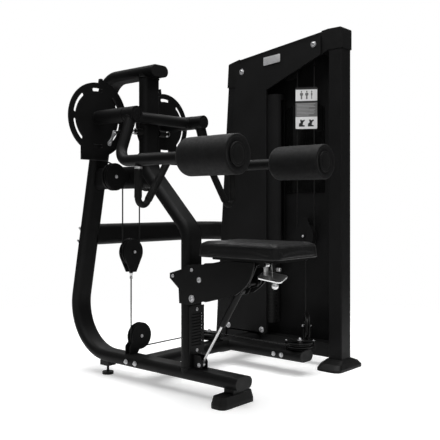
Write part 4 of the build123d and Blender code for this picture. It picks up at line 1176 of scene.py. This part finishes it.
def voxel_remesh(obj, size):
    """Even mesh for simulation."""
    change = obj.modifiers.new("remesh", "REMESH")
    change.mode = "VOXEL"
    change.voxel_size = size
    bake(obj, change)


def inflate(obj, held, pressure, frames, cap):
    """Cloth pressed out from inside, with held points fixed and no point moving past cap."""
    rest = [v.co.copy() for v in obj.data.vertices]
    group = obj.vertex_groups.new(name="held")
    group.add(held, 1.0, "REPLACE")
    cloth = obj.modifiers.new("cloth", "CLOTH")
    cloth.settings.quality = 6
    cloth.settings.mass = 0.3
    cloth.settings.use_pressure = True
    cloth.settings.uniform_pressure_force = pressure
    cloth.settings.vertex_group_mass = "held"
    cloth.settings.effector_weights.gravity = 0
    cloth.point_cache.frame_start = 1
    cloth.point_cache.frame_end = frames
    for number in range(1, frames + 1):
        bpy.context.scene.frame_set(number)
    graph = bpy.context.evaluated_depsgraph_get()
    puffed = obj.evaluated_get(graph).to_mesh()
    moved = [v.co.copy() for v in puffed.vertices]
    obj.modifiers.remove(cloth)
    bpy.context.scene.frame_set(1)
    for vert, start, end in zip(obj.data.vertices, rest, moved):
        shift = end - start
        if shift.length > cap:
            shift = shift.normalized() * cap
        vert.co = start + shift
    obj.vertex_groups.clear()


def subdivided(obj, levels):
    """Applies a subdivision surface."""
    change = obj.modifiers.new("subdivision", "SUBSURF")
    change.levels = levels
    bake(obj, change)


def cushion_shell():
    """Pad body before it is puffed: straight sides with a soft shoulder."""
    levels = [(0.003, 0.010), (0.003, 0.004), (0.012, 0.003)]
    levels += [(0.034, 0.003), (0.050, 0.004), (0.056, 0.010)]
    bm = bmesh.new()
    rings = []
    for rise, inset in levels:
        rings.append([bm.verts.new((x, y, SEAT_LOW.z + rise)) for x, y in seat_outline(inset)])
    for first, second in zip(rings, rings[1:]):
        for index in range(len(first)):
            after = (index + 1) % len(first)
            bm.faces.new((first[index], first[after], second[after], second[index]))
    bm.faces.new(rings[0][::-1])
    bm.faces.new(rings[-1])
    return mesh_from("seat_cover", bm)


def make_cushion():
    """Upholstered pad: puffed cover, welts along its upper and lower edges and a base board."""
    cover = finish_object("seat_cover", cushion_shell(), "upholstery", None, 60)
    voxel_remesh(cover, 0.005)
    held = [v.index for v in cover.data.vertices if v.co.z < SEAT_LOW.z + 0.010]
    inflate(cover, held, 4.0, 20, 0.006)
    middle_point = (SEAT_LOW + SEAT_HIGH) / 2
    seam = SEAT_HIGH.z - 0.0130
    for vert in cover.data.vertices:
        near = math.exp(-(((vert.co.z - seam) / 0.0035) ** 2))
        if near > 0.05:
            out = (vert.co - Vector((*middle_point.xy, vert.co.z))).normalized()
            vert.co -= out * 0.0016 * near
        if vert.co.z > SEAT_HIGH.z - 0.012:
            vert.co.z += 0.0004 * noise.noise(vert.co * 30)
    subdivided(cover, 1)
    cover.data.polygons.foreach_set("use_smooth", [True] * len(cover.data.polygons))
    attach(cover, "seat")
    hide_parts("seat_cushion")
    faces = [polygon.vertices[:] for polygon in cover.data.polygons]
    tree = BVHTree.FromPolygons([v.co for v in cover.data.vertices], faces)
    for word, height, size in (("upper", seam, 0.0024), ("lower", SEAT_LOW.z + 0.0075, 0.0020)):
        line = []
        for x, y in seat_outline(-0.02, 16):
            start = Vector((x, y, height))
            aim = Vector((middle_point.x, middle_point.y, height)) - start
            hit = tree.ray_cast(start, aim.normalized())[0]
            if hit is not None:
                line.append(hit + aim.normalized() * 0.0006)
        dense = []
        for index, point in enumerate(line):
            after = line[(index + 1) % len(line)]
            count = max(1, round((after - point).length / 0.006))
            dense += [point.lerp(after, step / count) for step in range(count)]
        mesh = tube_mesh(f"seat_welt_{word}", dense, size, True, sides=4)
        finish_object(f"seat_welt_{word}", mesh, "upholstery", "seat")
    bm = bmesh.new()
    prism_into(bm, seat_outline(0.012), (0, 0, SEAT_LOW.z - 0.0002), (1, 0, 0), (0, 1, 0), 0.006)
    piece_from("seat_board", bm, "cap_plastic", "seat")


# ---------------------------------------------------------------- assembly
make_camera()
make_lights()
make_floor()
dress_cad()
make_bolts()
make_block_nuts()
make_base_pulley_guards()
make_cables()
make_ferrules()
make_pulley_bearings()
for side_sign, side_word in SIDES:
    make_roller(side_sign, side_word)
    make_grip_sleeves(side_sign, side_word)
    make_arm_trim(side_sign, side_word)
make_frame_welds()
make_badge()
make_placard_print()
make_tower_trim()
make_lever_cable()
make_cushion()
